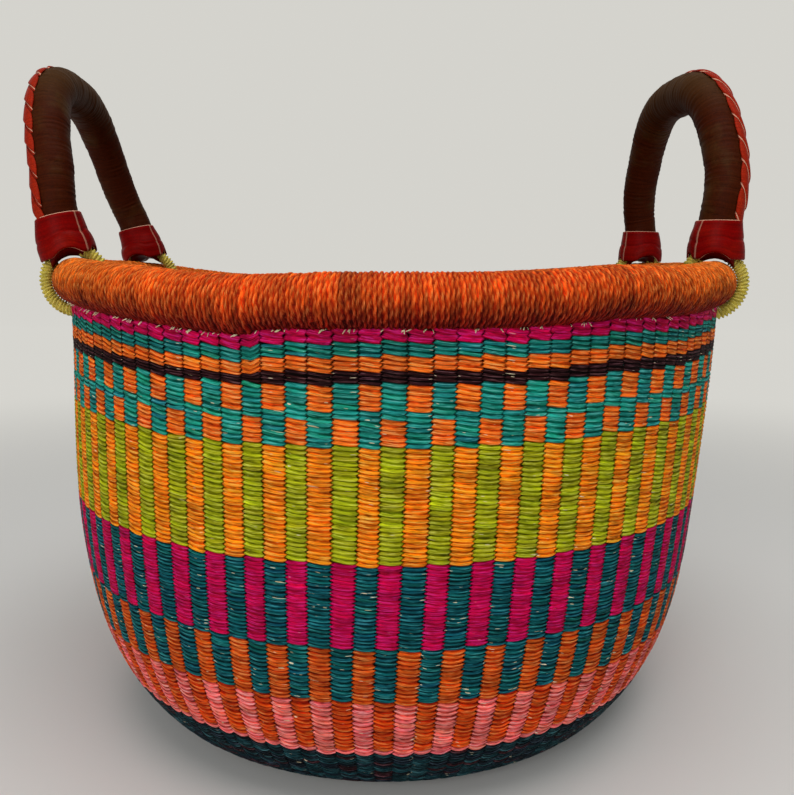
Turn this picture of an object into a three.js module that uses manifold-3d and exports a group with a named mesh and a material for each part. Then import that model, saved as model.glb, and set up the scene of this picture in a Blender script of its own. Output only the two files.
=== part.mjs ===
// A round straw basket with a whipped rim and two leather-wrapped carrying handles.
// Millimetres, +Z up. The origin is the centre of the underside, and the handles stand at -X and +X.
// Each handle swings about the straight line through the rim roll's middle at its own two legs,
// held by two rope loops that go round the roll and through the wall below it.
import * as THREE from "three";
import { mergeVertices } from "three/addons/utils/BufferGeometryUtils.js";
import Module from "manifold-3d";

// Running gap between pieces that touch on the real basket
const GAP = 0.3;

// Wall: the outer face of the weave is WALL_RADIUS less a tuck that dies away with height
const WALL_RADIUS = 190;
const TUCK = 52.5;
const TUCK_HEIGHT = 45;
const FOOT_ROUND = 11;
const FOOT_HEIGHT = 12;
const WEFT_THICKNESS = 3;
const STAKE_THICKNESS = 1.9;
const BASE_RING_WIDTH = 18.5;

// Heights of the woven stretches, one on the other from the floor up to the rim roll
const BASE_HEIGHT = 36.3;
const PINK_HEIGHT = 31.4;
const RUST_HEIGHT = 28.3;
const MAGENTA_HEIGHT = 41;
const LIME_HEIGHT = 54.3;
const CHECKER_HEIGHT = 27.8;
const BLACK_HEIGHT = 5.6;
const ORANGE_HEIGHT = 6.4;
const TEAL_HEIGHT = 6.1;
const TOP_HEIGHT = 5.3;

// Rim roll: a bundle of straw inside a whipped skin, slit below where the stakes enter
const ROLL_INSET = 3.5;
const ROLL_RADIUS = 12;
const WHIPPING_THICKNESS = 2.2;

// The hand-made rim dips between the handles: none within DIP_NONE, and nearly in full at the middle
const RIM_DIP = 6.2;
const DIP_START = 120;
const DIP_NONE = 0.37;
const DIP_FULL = 1.1;

// It also leans a little towards +X: not at all up to LEAN_START, and in full from the wall's top
const RIM_LEAN = 4.4;
const LEAN_START = 115;

// Handles: the arch of a handle, measured from its hinge line, and how far it can swing
const LEG_SPREAD = 70;
const LEG_STRAIGHT = 42.5;
const SHOULDER_SPREAD = 0.66;
const SHOULDER_RISE = 1.68;
const ARCH_BOW = 0.012;
const LEG_RADIUS = 10.3;
const CROWN_SWELL = 1.6;
const LEATHER_THICKNESS = 1.8;
const TWIST_START = 24;
const TWIST_RUN = 42;
const SWING_IN = 35;
const SWING_OUT = 55;
const LEFT_RISE = 116.3;
const RIGHT_RISE = 112;
const HANDLES = [
  { name: "handle_left", side: -1, rise: LEFT_RISE, lean: 13.8, twist: 3.1 },
  { name: "handle_right", side: 1, rise: RIGHT_RISE, lean: 1, twist: 3.6 },
];

// Rope loops round the roll
const ROPE_RADIUS = 3.1;
const LOOP_SLACK = 2.3;
const LOOP_HOLE_GAP = 0.6;
const LOOP_OPENING = 32;
const LOOP_END_SPREAD = 6.2;

// Red leather: the cuffs on the legs and the lacing that closes the wrap
const CUFF_TOP = 38;
const CUFF_FOOT = 13.7;
const CUFF_LEATHER = 1.6;
const CUFF_EASE = 0.45;
const CUFF_SWELL = [5.2, 5.4, 4.2, 3.2, 2.2];
const CUFF_STATIONS = [0, 0.28, 0.5, 0.74, 1];
const CUFF_CLEARANCE = 0.5;
const CUFF_SEARCH_STEP = 0.2;
const SWING_SEARCH_STEP = 5;
const LACING_ANGLE = 57;
const LACING_TURN = 35;
const LACING_HALF_WIDTH = 3.4;
const LACING_BULGE = 1.1;
const LACING_THICKNESS = 2.2;
const LACING_EDGE_DROP = 0.8;
const LACING_EDGE_SHARE = 0.75;
const LACING_STITCH = 15;
const LACING_START = 3.2;

// Facets, the tallest stretch of wall that is left straight, and the stations up the base corner as
// shares of its height, of which the first FLOOR_STATION have the floor inside them
const RING_SEGMENTS = 40;
const TUBE_SIDES = 10;
const CUFF_SIDES = 16;
const ROPE_SIDES = 8;
const ARCH_STEPS = 22;
const BORE_STEPS = 8;
const ROLL_STEPS = 11;
const LOOP_STEPS = 16;
const LOOP_RINGS = 24;
const HOLE_SEGMENTS = 40;
const BAND_STEP = 28;
const BASE_STATIONS = [0, 0.04, 0.11, 0.22, 0.36, 0.55, 0.77, 1];
const FLOOR_STATION = 3;
const STAKE_STEPS = 6;

const wasm = await Module();
wasm.setup();

const DEGREE = Math.PI / 180;
const WELD_DISTANCE = 1e-3;
const BASE_DISC_RADIUS = WALL_RADIUS - TUCK - FOOT_ROUND - BASE_RING_WIDTH - GAP;
const WALL_TOP = BASE_HEIGHT + PINK_HEIGHT + RUST_HEIGHT + MAGENTA_HEIGHT + LIME_HEIGHT
  + CHECKER_HEIGHT + BLACK_HEIGHT + ORANGE_HEIGHT + TEAL_HEIGHT + TOP_HEIGHT;
const ROLL_CIRCLE = WALL_RADIUS - ROLL_INSET;
const ROLL_HEIGHT = WALL_TOP + ROLL_RADIUS;
const LOOP_RADIUS = ROLL_RADIUS + ROPE_RADIUS + LOOP_SLACK;
const HINGE_REACH = Math.sqrt(ROLL_CIRCLE ** 2 - LEG_SPREAD ** 2);
const LEG_FOOT = LOOP_RADIUS + ROPE_RADIUS + GAP;
const WALL_THICKNESS = WEFT_THICKNESS + GAP + STAKE_THICKNESS;

function smooth(value) {
  const t = THREE.MathUtils.clamp(value, 0, 1);
  return t * t * (3 - 2 * t);
}

// Solids and booleans

function weld(geometry) {
  const bare = new THREE.BufferGeometry();
  bare.setAttribute("position", geometry.getAttribute("position").clone());
  bare.setIndex(geometry.index);
  return mergeVertices(bare, WELD_DISTANCE);
}

function enclosedVolume(geometry) {
  const p = geometry.getAttribute("position");
  const corner = [new THREE.Vector3(), new THREE.Vector3(), new THREE.Vector3()];
  let sum = 0;
  for (let i = 0; i < geometry.index.count; i += 3) {
    corner.forEach((v, k) => v.fromBufferAttribute(p, geometry.index.getX(i + k)));
    sum += corner[0].dot(corner[1].clone().cross(corner[2]));
  }
  return sum / 6;
}

// Turns the faces of a closed surface outwards.
function facingOut(geometry) {
  const welded = weld(geometry);
  if (enclosedVolume(welded) < 0) {
    const corners = welded.index.array;
    for (let i = 0; i < corners.length; i += 3) {
      [corners[i + 1], corners[i + 2]] = [corners[i + 2], corners[i + 1]];
    }
  }
  return welded;
}

function toSolid(geometry) {
  return new wasm.Manifold(
    new wasm.Mesh({
      numProp: 3,
      vertProperties: geometry.getAttribute("position").array,
      triVerts: new Uint32Array(geometry.index.array),
    }),
  );
}

function cut(geometry, cutters) {
  let solid = toSolid(geometry);
  for (const cutter of cutters) {
    solid = solid.subtract(toSolid(cutter));
  }
  const mesh = solid.getMesh();
  const result = new THREE.BufferGeometry();
  result.setAttribute("position", new THREE.BufferAttribute(mesh.vertProperties, 3));
  result.setIndex(new THREE.BufferAttribute(mesh.triVerts, 1));
  return result;
}

// Joins rings of equally many points. A closed row of rings comes back to its first ring, which makes
// a tube with a bore. An open row is capped at both ends.
function loft(rings, closed) {
  const count = rings[0].length;
  const points = rings.flat();
  const faces = [];
  const last = closed ? rings.length : rings.length - 1;
  for (let i = 0; i < last; i++) {
    const next = (i + 1) % rings.length;
    for (let j = 0; j < count; j++) {
      const k = (j + 1) % count;
      const [a, b] = [i * count + j, i * count + k];
      const [c, d] = [next * count + j, next * count + k];
      faces.push(a, b, d, a, d, c);
    }
  }
  if (!closed) {
    for (const end of [0, rings.length - 1]) {
      const middle = new THREE.Vector3();
      rings[end].forEach((p) => middle.addScaledVector(p, 1 / count));
      const hub = points.push(middle) - 1;
      for (let j = 0; j < count; j++) {
        const [a, b] = [end * count + j, end * count + ((j + 1) % count)];
        faces.push(...(end === 0 ? [hub, b, a] : [hub, a, b]));
      }
    }
  }
  const geometry = new THREE.BufferGeometry().setFromPoints(points);
  geometry.setIndex(faces);
  return facingOut(geometry);
}

// The wall's outline

function wallRadius(height) {
  const foot = Math.max(0, 1 - height / FOOT_HEIGHT);
  return WALL_RADIUS - TUCK * Math.exp(-height / TUCK_HEIGHT) - FOOT_ROUND * foot ** 2;
}

// A point of the wall at a depth below its outer face, measured square to that face.
function wallPoint(height, depth) {
  const step = 0.01;
  const slope = (wallRadius(height + step) - wallRadius(height)) / step;
  const length = Math.hypot(1, slope);
  return new THREE.Vector2(wallRadius(height) - depth / length, height + (depth * slope) / length);
}

function wallSlice(low, high, outerDepth, innerDepth, steps) {
  const heights = Array.from({ length: steps + 1 }, (_, i) => low + ((high - low) * i) / steps);
  const outer = heights.map((h) => wallPoint(h, outerDepth));
  const inner = heights.map((h) => wallPoint(h, innerDepth)).reverse();
  return [...outer, ...inner];
}

// How far the hand-made rim has dropped at a point: nothing beside the handles or low on the wall.
function rimDip(x, y, z) {
  const turn = Math.abs(y) / Math.hypot(x, y);
  const level = THREE.MathUtils.clamp((z - DIP_START) / (ROLL_HEIGHT - DIP_START), 0, 1);
  return RIM_DIP * level * smooth((turn - DIP_NONE) / (DIP_FULL - DIP_NONE));
}

function rimLean(height) {
  return RIM_LEAN * smooth((height - LEAN_START) / (WALL_TOP - LEAN_START));
}

// Turns a closed profile of (radius, height) points round the Z axis and lets it follow the dip and
// the lean.
function turned(profile) {
  const rings = [];
  for (let i = 0; i < RING_SEGMENTS; i++) {
    const angle = ((i + 0.5) * 2 * Math.PI) / RING_SEGMENTS;
    rings.push(
      profile.map((p) => {
        const [x, y] = [p.x * Math.cos(angle), p.x * Math.sin(angle)];
        return new THREE.Vector3(x + rimLean(p.y), y, p.y - rimDip(x, y, p.y));
      }),
    );
  }
  return loft(rings, true);
}

// Wall pieces

function baseDisc() {
  const thickness = WALL_THICKNESS;
  const disc = new THREE.CylinderGeometry(
    BASE_DISC_RADIUS, BASE_DISC_RADIUS, thickness, RING_SEGMENTS, 1, false, Math.PI / RING_SEGMENTS,
  );
  disc.rotateX(Math.PI / 2);
  disc.translate(0, 0, thickness / 2);
  return facingOut(disc);
}

// The twined corner: flat underneath, then rounding up into the wall, at the wall's full thickness.
function baseBand() {
  const inset = BASE_DISC_RADIUS + GAP;
  const heights = BASE_STATIONS.map((share) => share * (BASE_HEIGHT - GAP / 2));
  const outer = heights.map((h) => wallPoint(h, 0));
  const inner = heights
    .slice(FLOOR_STATION)
    .map((h) => wallPoint(h, WALL_THICKNESS))
    .reverse();
  const underside = new THREE.Vector2(inset, 0);
  const floor = new THREE.Vector2(inset, WALL_THICKNESS);
  return turned([underside, ...outer, ...inner, floor]);
}

function band(low, high) {
  const steps = Math.ceil((high - low) / BAND_STEP);
  return turned(wallSlice(low + GAP / 2, high - GAP / 2, 0, WEFT_THICKNESS, steps));
}

function stakes() {
  const top = ROLL_HEIGHT - (ROLL_RADIUS - WHIPPING_THICKNESS);
  const depth = WEFT_THICKNESS + GAP;
  return turned(wallSlice(BASE_HEIGHT + GAP / 2, top, depth, depth + STAKE_THICKNESS, STAKE_STEPS));
}

// Rim pieces

function rollPoint(radius, angle) {
  return new THREE.Vector2(
    ROLL_CIRCLE + radius * Math.sin(angle),
    ROLL_HEIGHT - radius * Math.cos(angle),
  );
}

// An arc of the roll's section from one side of the slit below, over the top, to the other side.
function rollArc(radius, steps) {
  const stakeFace = wallRadius(ROLL_HEIGHT) - WEFT_THICKNESS - GAP;
  const near = stakeFace + GAP - ROLL_CIRCLE;
  const far = stakeFace - STAKE_THICKNESS - GAP - ROLL_CIRCLE;
  const start = Math.asin(near / radius);
  const sweep = 2 * Math.PI + Math.asin(far / radius) - start;
  return Array.from({ length: steps + 1 }, (_, i) => rollPoint(radius, start + (sweep * i) / steps));
}

// The whipping: a tube slit along its underside, where the stakes enter.
function rimWhipping() {
  const bore = ROLL_RADIUS - WHIPPING_THICKNESS;
  return turned([...rollArc(ROLL_RADIUS, ROLL_STEPS), ...rollArc(bore, BORE_STEPS).reverse()]);
}

function rimCore() {
  return turned(rollArc(ROLL_RADIUS - WHIPPING_THICKNESS - GAP, BORE_STEPS));
}

// A handle in its own frame: the hinge line is the Y axis, +Z is up the handle, X is outboard times side

function archCentre(handle, t) {
  const cosine = Math.cos(t * Math.PI);
  const spread = Math.sign(cosine) * Math.abs(cosine) ** SHOULDER_SPREAD;
  const rise = Math.sin(t * Math.PI) ** SHOULDER_RISE;
  const height = LEG_STRAIGHT + (handle.rise - LEG_STRAIGHT) * rise;
  return standing(handle, -LEG_SPREAD * spread, height);
}

// A height as a share of the leather's way up to the crown.
function climb(handle, height) {
  return THREE.MathUtils.clamp((height - LEG_FOOT) / (handle.rise - LEG_FOOT), 0, 1);
}

// Bows a point of the flat arch outwards along Y, and twists the arch about its upright line.
function standing(handle, y, height) {
  const bowed = y * (1 + ARCH_BOW * Math.sin(Math.PI * climb(handle, height)));
  const turn = Math.tan(handle.twist * DEGREE);
  const skew = turn * smooth((height - TWIST_START) / TWIST_RUN);
  return new THREE.Vector3(-bowed * skew, bowed, height);
}

function archPath(handle, foot) {
  const leg = [foot, (2 * foot + LEG_STRAIGHT) / 3, (foot + 2 * LEG_STRAIGHT) / 3];
  const front = leg.map((h) => standing(handle, -LEG_SPREAD, h));
  const rear = leg.map((h) => standing(handle, LEG_SPREAD, h)).reverse();
  const crown = Array.from({ length: ARCH_STEPS + 1 }, (_, i) => archCentre(handle, i / ARCH_STEPS));
  return new THREE.CatmullRomCurve3([...front, ...crown, ...rear]);
}

function leatherRadius(handle, height) {
  return LEG_RADIUS + CROWN_SWELL * climb(handle, height) ** 2;
}

// A cross-section frame of the arch at share t of its length. Angle 0 points away from the middle of
// the arch, and 90 degrees points outboard.
function archFrame(handle, path, t) {
  const centre = path.getPointAt(t);
  const along = path.getTangentAt(t);
  const outboard = new THREE.Vector3(handle.side, 0, 0);
  outboard.addScaledVector(along, -outboard.dot(along)).normalize();
  const away = along.clone().cross(outboard).multiplyScalar(-handle.side);
  return { centre, away, outboard };
}

function framePoint(frame, radius, angle) {
  return frame.centre
    .clone()
    .addScaledVector(frame.away, radius * Math.cos(angle))
    .addScaledVector(frame.outboard, radius * Math.sin(angle));
}

function archRings(handle, inset) {
  const path = archPath(handle, LEG_FOOT);
  return Array.from({ length: ARCH_STEPS + 1 }, (_, i) => {
    const frame = archFrame(handle, path, i / ARCH_STEPS);
    const radius = leatherRadius(handle, frame.centre.z) - inset;
    const facet = (2 * Math.PI) / TUBE_SIDES;
    return Array.from({ length: TUBE_SIDES }, (_, j) => framePoint(frame, radius, j * facet));
  });
}

function handleCore(handle) {
  return loft(archRings(handle, LEATHER_THICKNESS + GAP), false);
}

function handleLeather(handle) {
  return loft([...archRings(handle, 0), ...archRings(handle, LEATHER_THICKNESS).reverse()], true);
}

// The laced seam: a strip that swells in the middle of every stitch, from one cuff to the other. It
// turns from the outboard side of the legs towards the top of the crown.
function handleLacing(handle) {
  const path = archPath(handle, CUFF_TOP + LACING_START);
  const stitches = Math.round(path.getLength() / LACING_STITCH);
  const steps = 2 * stitches;
  const rings = Array.from({ length: steps + 1 }, (_, i) => {
    const frame = archFrame(handle, path, i / steps);
    const clear = leatherRadius(handle, frame.centre.z) + GAP;
    const halfWidth = LACING_HALF_WIDTH + (i % 2 === 1 ? LACING_BULGE : 0);
    const reach = halfWidth / clear;
    const seat = clear / Math.cos(reach / 2);
    const rise = climb(handle, frame.centre.z);
    const middle = (LACING_ANGLE - LACING_TURN * rise ** 3) * DEGREE;
    const crest = seat + LACING_THICKNESS;
    return [
      framePoint(frame, seat, middle - reach),
      framePoint(frame, crest - LACING_EDGE_DROP, middle - reach * LACING_EDGE_SHARE),
      framePoint(frame, crest, middle),
      framePoint(frame, crest - LACING_EDGE_DROP, middle + reach * LACING_EDGE_SHARE),
      framePoint(frame, seat, middle + reach),
      framePoint(frame, seat, middle),
    ];
  });
  return loft(rings, false);
}

// True where a point fixed to the handle would touch the roll somewhere in the swing.
function meetsRoll(outboard, y, height) {
  const slant = Math.sqrt(1 - (y / ROLL_CIRCLE) ** 2);
  const middle = ROLL_CIRCLE * slant - HINGE_REACH;
  const wide = ROLL_RADIUS / slant + CUFF_CLEARANCE;
  const tall = ROLL_RADIUS + CUFF_CLEARANCE;
  for (let angle = -SWING_IN; angle <= SWING_OUT; angle += SWING_SEARCH_STEP) {
    const [c, s] = [Math.cos(angle * DEGREE), Math.sin(angle * DEGREE)];
    const across = (outboard * c + height * s - middle) / wide;
    const up = (height * c - outboard * s) / tall;
    if (across ** 2 + up ** 2 < 1) {
      return true;
    }
  }
  return false;
}

// The lower edge of a cuff is cut in a saddle that clears the loop where it comes out, and the roll
// through the whole swing. The offsets are from the middle of the leg.
function cuffFoot(outboard, end, along) {
  const besideLoop = Math.abs(along) < ROPE_RADIUS + GAP;
  const loopCrest = Math.sqrt((LOOP_RADIUS + ROPE_RADIUS + GAP) ** 2 - outboard ** 2);
  let height = besideLoop ? Math.max(CUFF_FOOT, loopCrest) : CUFF_FOOT;
  while (meetsRoll(outboard, end * LEG_SPREAD + along, height)) {
    height += CUFF_SEARCH_STEP;
  }
  return height;
}

function cuff(handle, end) {
  const bore = (leatherRadius(handle, CUFF_TOP) + GAP + CUFF_EASE) / Math.cos(Math.PI / CUFF_SIDES);
  const ring = (share, outside) =>
    Array.from({ length: CUFF_SIDES }, (_, j) => {
      const angle = ((j + 0.5) * 2 * Math.PI) / CUFF_SIDES;
      const station = CUFF_STATIONS.indexOf(share);
      const grown = LEG_RADIUS + CUFF_SWELL[station] - (outside ? 0 : CUFF_LEATHER);
      const radius = outside ? grown : Math.max(grown, bore);
      const [across, along] = [radius * Math.cos(angle), radius * Math.sin(angle)];
      const foot = cuffFoot(across, end, along);
      const height = foot + (CUFF_TOP - foot) * share;
      const centre = standing(handle, end * LEG_SPREAD, height);
      return new THREE.Vector3(centre.x + handle.side * across, centre.y + along, height);
    });
  const outer = CUFF_STATIONS.map((share) => ring(share, true));
  const inner = [1, 0.5, 0].map((share) => ring(share, false));
  return loft([...outer, ...inner], true);
}

// A rope loop: round the roll, with both ends turned up into the foot of the leg.
function ropeLoop(handle, end) {
  const start = LOOP_OPENING * DEGREE;
  const arc = Array.from({ length: LOOP_STEPS + 1 }, (_, i) => {
    const angle = start + ((2 * Math.PI - 2 * start) * i) / LOOP_STEPS;
    return new THREE.Vector3(
      handle.side * LOOP_RADIUS * Math.sin(angle), end * LEG_SPREAD, LOOP_RADIUS * Math.cos(angle),
    );
  });
  const tip = LEG_FOOT - GAP;
  const tips = [1, -1].map(
    (way) => new THREE.Vector3(handle.side * way * LOOP_END_SPREAD, end * LEG_SPREAD, tip),
  );
  const path = new THREE.CatmullRomCurve3([tips[0], ...arc, tips[1]]);
  const rings = Array.from({ length: LOOP_RINGS + 1 }, (_, i) => {
    const centre = path.getPointAt(i / LOOP_RINGS);
    const atEnd = i === 0 || i === LOOP_RINGS;
    const along = atEnd ? new THREE.Vector3(0, 0, 1) : path.getTangentAt(i / LOOP_RINGS);
    const side = new THREE.Vector3(0, 1, 0);
    const across = along.clone().cross(side);
    if (i === LOOP_RINGS) {
      across.negate();
    }
    return Array.from({ length: ROPE_SIDES }, (_, j) => {
      const angle = ((j + 0.5) * 2 * Math.PI) / ROPE_SIDES;
      return centre
        .clone()
        .addScaledVector(side, ROPE_RADIUS * Math.cos(angle))
        .addScaledVector(across, ROPE_RADIUS * Math.sin(angle));
    });
  });
  return loft(rings, false);
}

// The holes that the loops pass through are rings about the hinge lines, so the loops can slide in them.
function loopHoles() {
  const holes = [];
  for (const { side } of HANDLES) {
    for (const end of [-1, 1]) {
      const bore = ROPE_RADIUS + LOOP_HOLE_GAP;
      const ring = new THREE.TorusGeometry(LOOP_RADIUS, bore, ROPE_SIDES, HOLE_SEGMENTS);
      ring.rotateX(Math.PI / 2);
      ring.translate(RIM_LEAN + side * HINGE_REACH, end * LEG_SPREAD, ROLL_HEIGHT);
      holes.push(facingOut(ring));
    }
  }
  return holes;
}

// Colours and finishes

function straw(color) {
  return new THREE.MeshStandardMaterial({ color, roughness: 0.75, metalness: 0 });
}

function leather(color) {
  return new THREE.MeshStandardMaterial({ color, roughness: 0.5, metalness: 0 });
}

const finishes = {
  darkTeal: straw(0x0f3b3a),
  pink: straw(0xe58a86),
  rust: straw(0xb1581c),
  magenta: straw(0xb4125f),
  lime: straw(0x9aa61d),
  orange: straw(0xe0801f),
  teal: straw(0x12706c),
  black: straw(0x2b1014),
  natural: straw(0xc9b06a),
  rim: straw(0xc8581a),
  rope: straw(0xc3b25c),
  brownLeather: leather(0x33170f),
  redLeather: leather(0x8f1d12),
};

// The assembly

const basket = new THREE.Group();

function place(group, name, geometry, material) {
  geometry.computeVertexNormals();
  const mesh = new THREE.Mesh(geometry, material);
  mesh.name = name;
  group.add(mesh);
}

const holes = loopHoles();
const holeFoot = ROLL_HEIGHT - LOOP_RADIUS - ROPE_RADIUS - LOOP_HOLE_GAP;
place(basket, "base_disc", baseDisc(), finishes.darkTeal);
place(basket, "base_band", baseBand(), finishes.darkTeal);
place(basket, "stakes", cut(stakes(), holes), finishes.natural);

const wallBands = [
  { name: "band_pink_rust", height: PINK_HEIGHT, finish: finishes.pink },
  { name: "band_rust_teal", height: RUST_HEIGHT, finish: finishes.rust },
  { name: "band_magenta_teal", height: MAGENTA_HEIGHT, finish: finishes.magenta },
  { name: "band_lime_orange", height: LIME_HEIGHT, finish: finishes.lime },
  { name: "band_checker", height: CHECKER_HEIGHT, finish: finishes.teal },
  { name: "band_black", height: BLACK_HEIGHT, finish: finishes.black },
  { name: "band_orange", height: ORANGE_HEIGHT, finish: finishes.orange },
  { name: "band_teal", height: TEAL_HEIGHT, finish: finishes.teal },
  { name: "band_magenta", height: TOP_HEIGHT, finish: finishes.magenta },
];
let border = BASE_HEIGHT;
for (const { name, height, finish } of wallBands) {
  const whole = band(border, border + height);
  border += height;
  place(basket, name, border > holeFoot ? cut(whole, holes) : whole, finish);
}
place(basket, "rim_core", rimCore(), finishes.natural);
place(basket, "rim_whipping", rimWhipping(), finishes.rim);

for (const handle of HANDLES) {
  const swing = new THREE.Group();
  swing.position.set(RIM_LEAN + handle.side * HINGE_REACH, 0, ROLL_HEIGHT);
  swing.rotation.y = handle.side * handle.lean * DEGREE;
  place(swing, handle.name + "_core", handleCore(handle), finishes.natural);
  place(swing, handle.name + "_leather", handleLeather(handle), finishes.brownLeather);
  place(swing, handle.name + "_lacing", handleLacing(handle), finishes.redLeather);
  for (const [end, word] of [[-1, "front"], [1, "rear"]]) {
    place(swing, handle.name + "_cuff_" + word, cuff(handle, end), finishes.redLeather);
    place(swing, handle.name + "_loop_" + word, ropeLoop(handle, end), finishes.rope);
  }
  basket.add(swing);
}

export default basket;
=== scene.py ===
"""A round basket of dyed straw with a whipped rim and two leather-wrapped carrying handles.

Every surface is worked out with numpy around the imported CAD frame, in metres: +Z up, the handles at
-X and +X, the front at -Y. Run as a script it builds the basket and its studio.
"""

import math

import bpy
import numpy as np
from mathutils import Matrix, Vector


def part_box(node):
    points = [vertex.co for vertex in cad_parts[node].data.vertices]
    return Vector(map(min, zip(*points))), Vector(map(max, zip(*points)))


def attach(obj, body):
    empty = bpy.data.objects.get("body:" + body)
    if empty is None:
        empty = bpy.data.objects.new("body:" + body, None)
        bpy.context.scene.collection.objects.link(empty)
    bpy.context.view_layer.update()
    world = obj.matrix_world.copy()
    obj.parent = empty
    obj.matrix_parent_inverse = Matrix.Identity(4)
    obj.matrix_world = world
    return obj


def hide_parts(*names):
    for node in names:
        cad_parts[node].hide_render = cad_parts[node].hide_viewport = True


bl_info = {
    "name": "Woven Straw Basket",
    "version": (1, 0, 0),
    "blender": (4, 5, 0),
    "location": "3D View > Sidebar > Basket",
    "description": "Weaves a round straw basket with a whipped rim and leather-wrapped handles",
    "category": "Add Mesh",
}

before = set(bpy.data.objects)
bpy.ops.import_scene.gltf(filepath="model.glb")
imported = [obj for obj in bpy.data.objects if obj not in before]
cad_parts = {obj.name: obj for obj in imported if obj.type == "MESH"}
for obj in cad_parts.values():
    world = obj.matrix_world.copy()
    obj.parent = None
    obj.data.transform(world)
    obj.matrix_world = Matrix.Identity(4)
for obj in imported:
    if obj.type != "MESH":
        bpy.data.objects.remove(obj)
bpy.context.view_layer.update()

# The wall that the frame was made with
WALL_RADIUS = 0.190
TUCK = 0.0525
TUCK_HEIGHT = 0.045
FOOT_ROUND = 0.011
FOOT_HEIGHT = 0.012
WALL_THICKNESS = 0.0052
DISC_RADIUS = 0.108
ROLL_CIRCLE = 0.1865
ROLL_HEIGHT = 0.2545
ROLL_RADIUS = 0.012
RIM_DIP = 0.0062
DIP_START = 0.120
DIP_NONE = 0.37
DIP_FULL = 1.1
RIM_LEAN = 0.0044
LEAN_START = 0.115

# The handles, each measured from its hinge line
LEG_SPREAD = 0.070
LEG_STRAIGHT = 0.0425
SHOULDER_SPREAD = 0.66
SHOULDER_RISE = 1.68
ARCH_BOW = 0.012
LEG_RADIUS = 0.0103
LEG_FOOT = 0.0208
TWIST_START = 0.024
TWIST_RUN = 0.042
CUFF_FOOT = 0.0127
LOOP_RADIUS = 0.0174
ROPE_RADIUS = 0.0031
LOOP_OPENING = 32
LOOP_END_SPREAD = 0.0062
SWING_IN = 35
SWING_OUT = 55
HANDLES = {
    "handle_left": {
        "side": -1, "rise": 0.1128, "bend": 0.0032, "swell": 0.0016, "cuff": 0.0350, "lean": 13.8,
        "twist": 3.1, "seed": 31,
    },
    "handle_right": {
        "side": 1, "rise": 0.1102, "bend": -0.0030, "swell": 0.0014, "cuff": 0.0334, "lean": 1,
        "twist": 3.6, "seed": 47,
    },
}

GAP = 0.00015
CUFF_LEATHER = 0.0016
SEAM_ANGLE = math.pi + 0.45
COLUMNS = 116
WALL_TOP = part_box("band_magenta")[1].z + GAP
BASE_PITCH = 0.0023
TURN = 2 * math.pi

# Waves of the hand-made rim: degrees from the front towards +X, width in degrees, and lift
RIM_WAVES = ((-22, 11, -0.0019), (31, 9, 0.0020), (180, 45, -0.0022), (-140, 26, -0.0050))

# The last round of weaving ends at this angle: rows sink towards it, and start again beyond it
JOINT_ANGLE = -17.2
JOINT_RUN = 42
JOINT_STEP = 1.3
JOINT_DROP = 0.0023
JOINT_HEIGHTS = (0.2205, 0.2262, 0.2430, 0.2560)

# How far aside the columns stand, in metres along the wall: everywhere, and the rest of it as a bell
# curve about a height
ASIDE = 0.0004
ASIDE_BELL = 0.0027
BELL_HEIGHT = 0.137
BELL_SPREAD = 0.060

# The weave runs on this far under the roll, and under the basket to this radius. The bands' shapes
# blend over so many rows
HIDDEN_TOP = 0.0012
RUN_END = 0.0001
BLEND_ROWS = 1.5

# Woven stretches from the rim down: node, rows, slot, names of the first and of the second dye, and
# how many rows of every column start in the first dye before the columns change over. Then the
# stitches' shape, in rows where it is a length: slope, sag, depth of the ribs and of the grooves
BANDS = [
    ("band_magenta", 2, "magenta_straw", "magenta", "magenta", 99, 0.22, 0.1, 0.1, 0.3),
    ("band_teal", 3, "teal_straw", "teal", "teal", 99, 0.36, 0.1, 0.25, 0.9),
    ("band_orange", 3, "orange_straw", "orange", "orange", 99, 0.36, 0.1, 0.3, 0.9),
    ("band_black", 3, "black_straw", "black", "black", 99, 0.3, 0.1, 0.4, 0.9),
    ("band_checker", 12, "teal_straw", "orange", "bright_teal", 5, 0.24, 0.1, 0.8, 1.0),
    ("band_lime_orange", 24, "lime_straw", "bright_orange", "lime", 99, 0.2, 0.12, 1.0, 1.1),
    ("band_magenta_teal", 22, "magenta_straw", "deep_teal", "magenta", 99, 0.14, 0.16, 1.0, 1.0),
    ("band_rust_teal", 13, "rust_straw", "rust", "deep_teal", 99, 0.12, 0.22, 1.0, 1.0),
    ("band_pink_rust", 13, "pink_straw", "pink", "burnt", 99, 0.1, 0.3, 1.0, 1.1),
]
BASE_SHAPE = (0.06, 1.1, 0.3, 1.4)
DISC_SHAPE = (0.06, 0.3, 0.3, 1.0)

# The start disc's rings: outer and inner radius, and columns
DISC_RINGS = ((DISC_RADIUS, 0.060, 58), (0.060, 0.030, 29), (0.030, 0.0015, 12))

# Columns are sampled finely where they show, and coarsely elsewhere
ACROSS_FINE = (-1, -0.78, -0.42, 0, 0.42, 0.78, 1)
ACROSS_COARSE = (-1, -0.6, 0, 0.6, 1)
WITHIN_FINE = (0, 0.2, 0.5, 0.8)
WITHIN_COARSE = (0, 0.3, 0.7)

# Unevenness of single stitches: shift and tilt in rows, and thickness in metres
STITCH_SHIFT = 0.10
STITCH_TILT = 0.07
STITCH_THICKNESS = 0.00022

# How rough and flecked a dyed straw is, where it isn't the usual
USUAL_COARSENESS = 0.8
COARSENESS = {
    "magenta": 0.3, "deep_teal": 1.5, "teal": 1.1, "bright_teal": 1.1, "black": 1.2, "pink": 0.9,
}
BASE_COARSENESS = 0.75
BASE_DYE_SHARES = (0.5, 0.42, 0.08)

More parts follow.
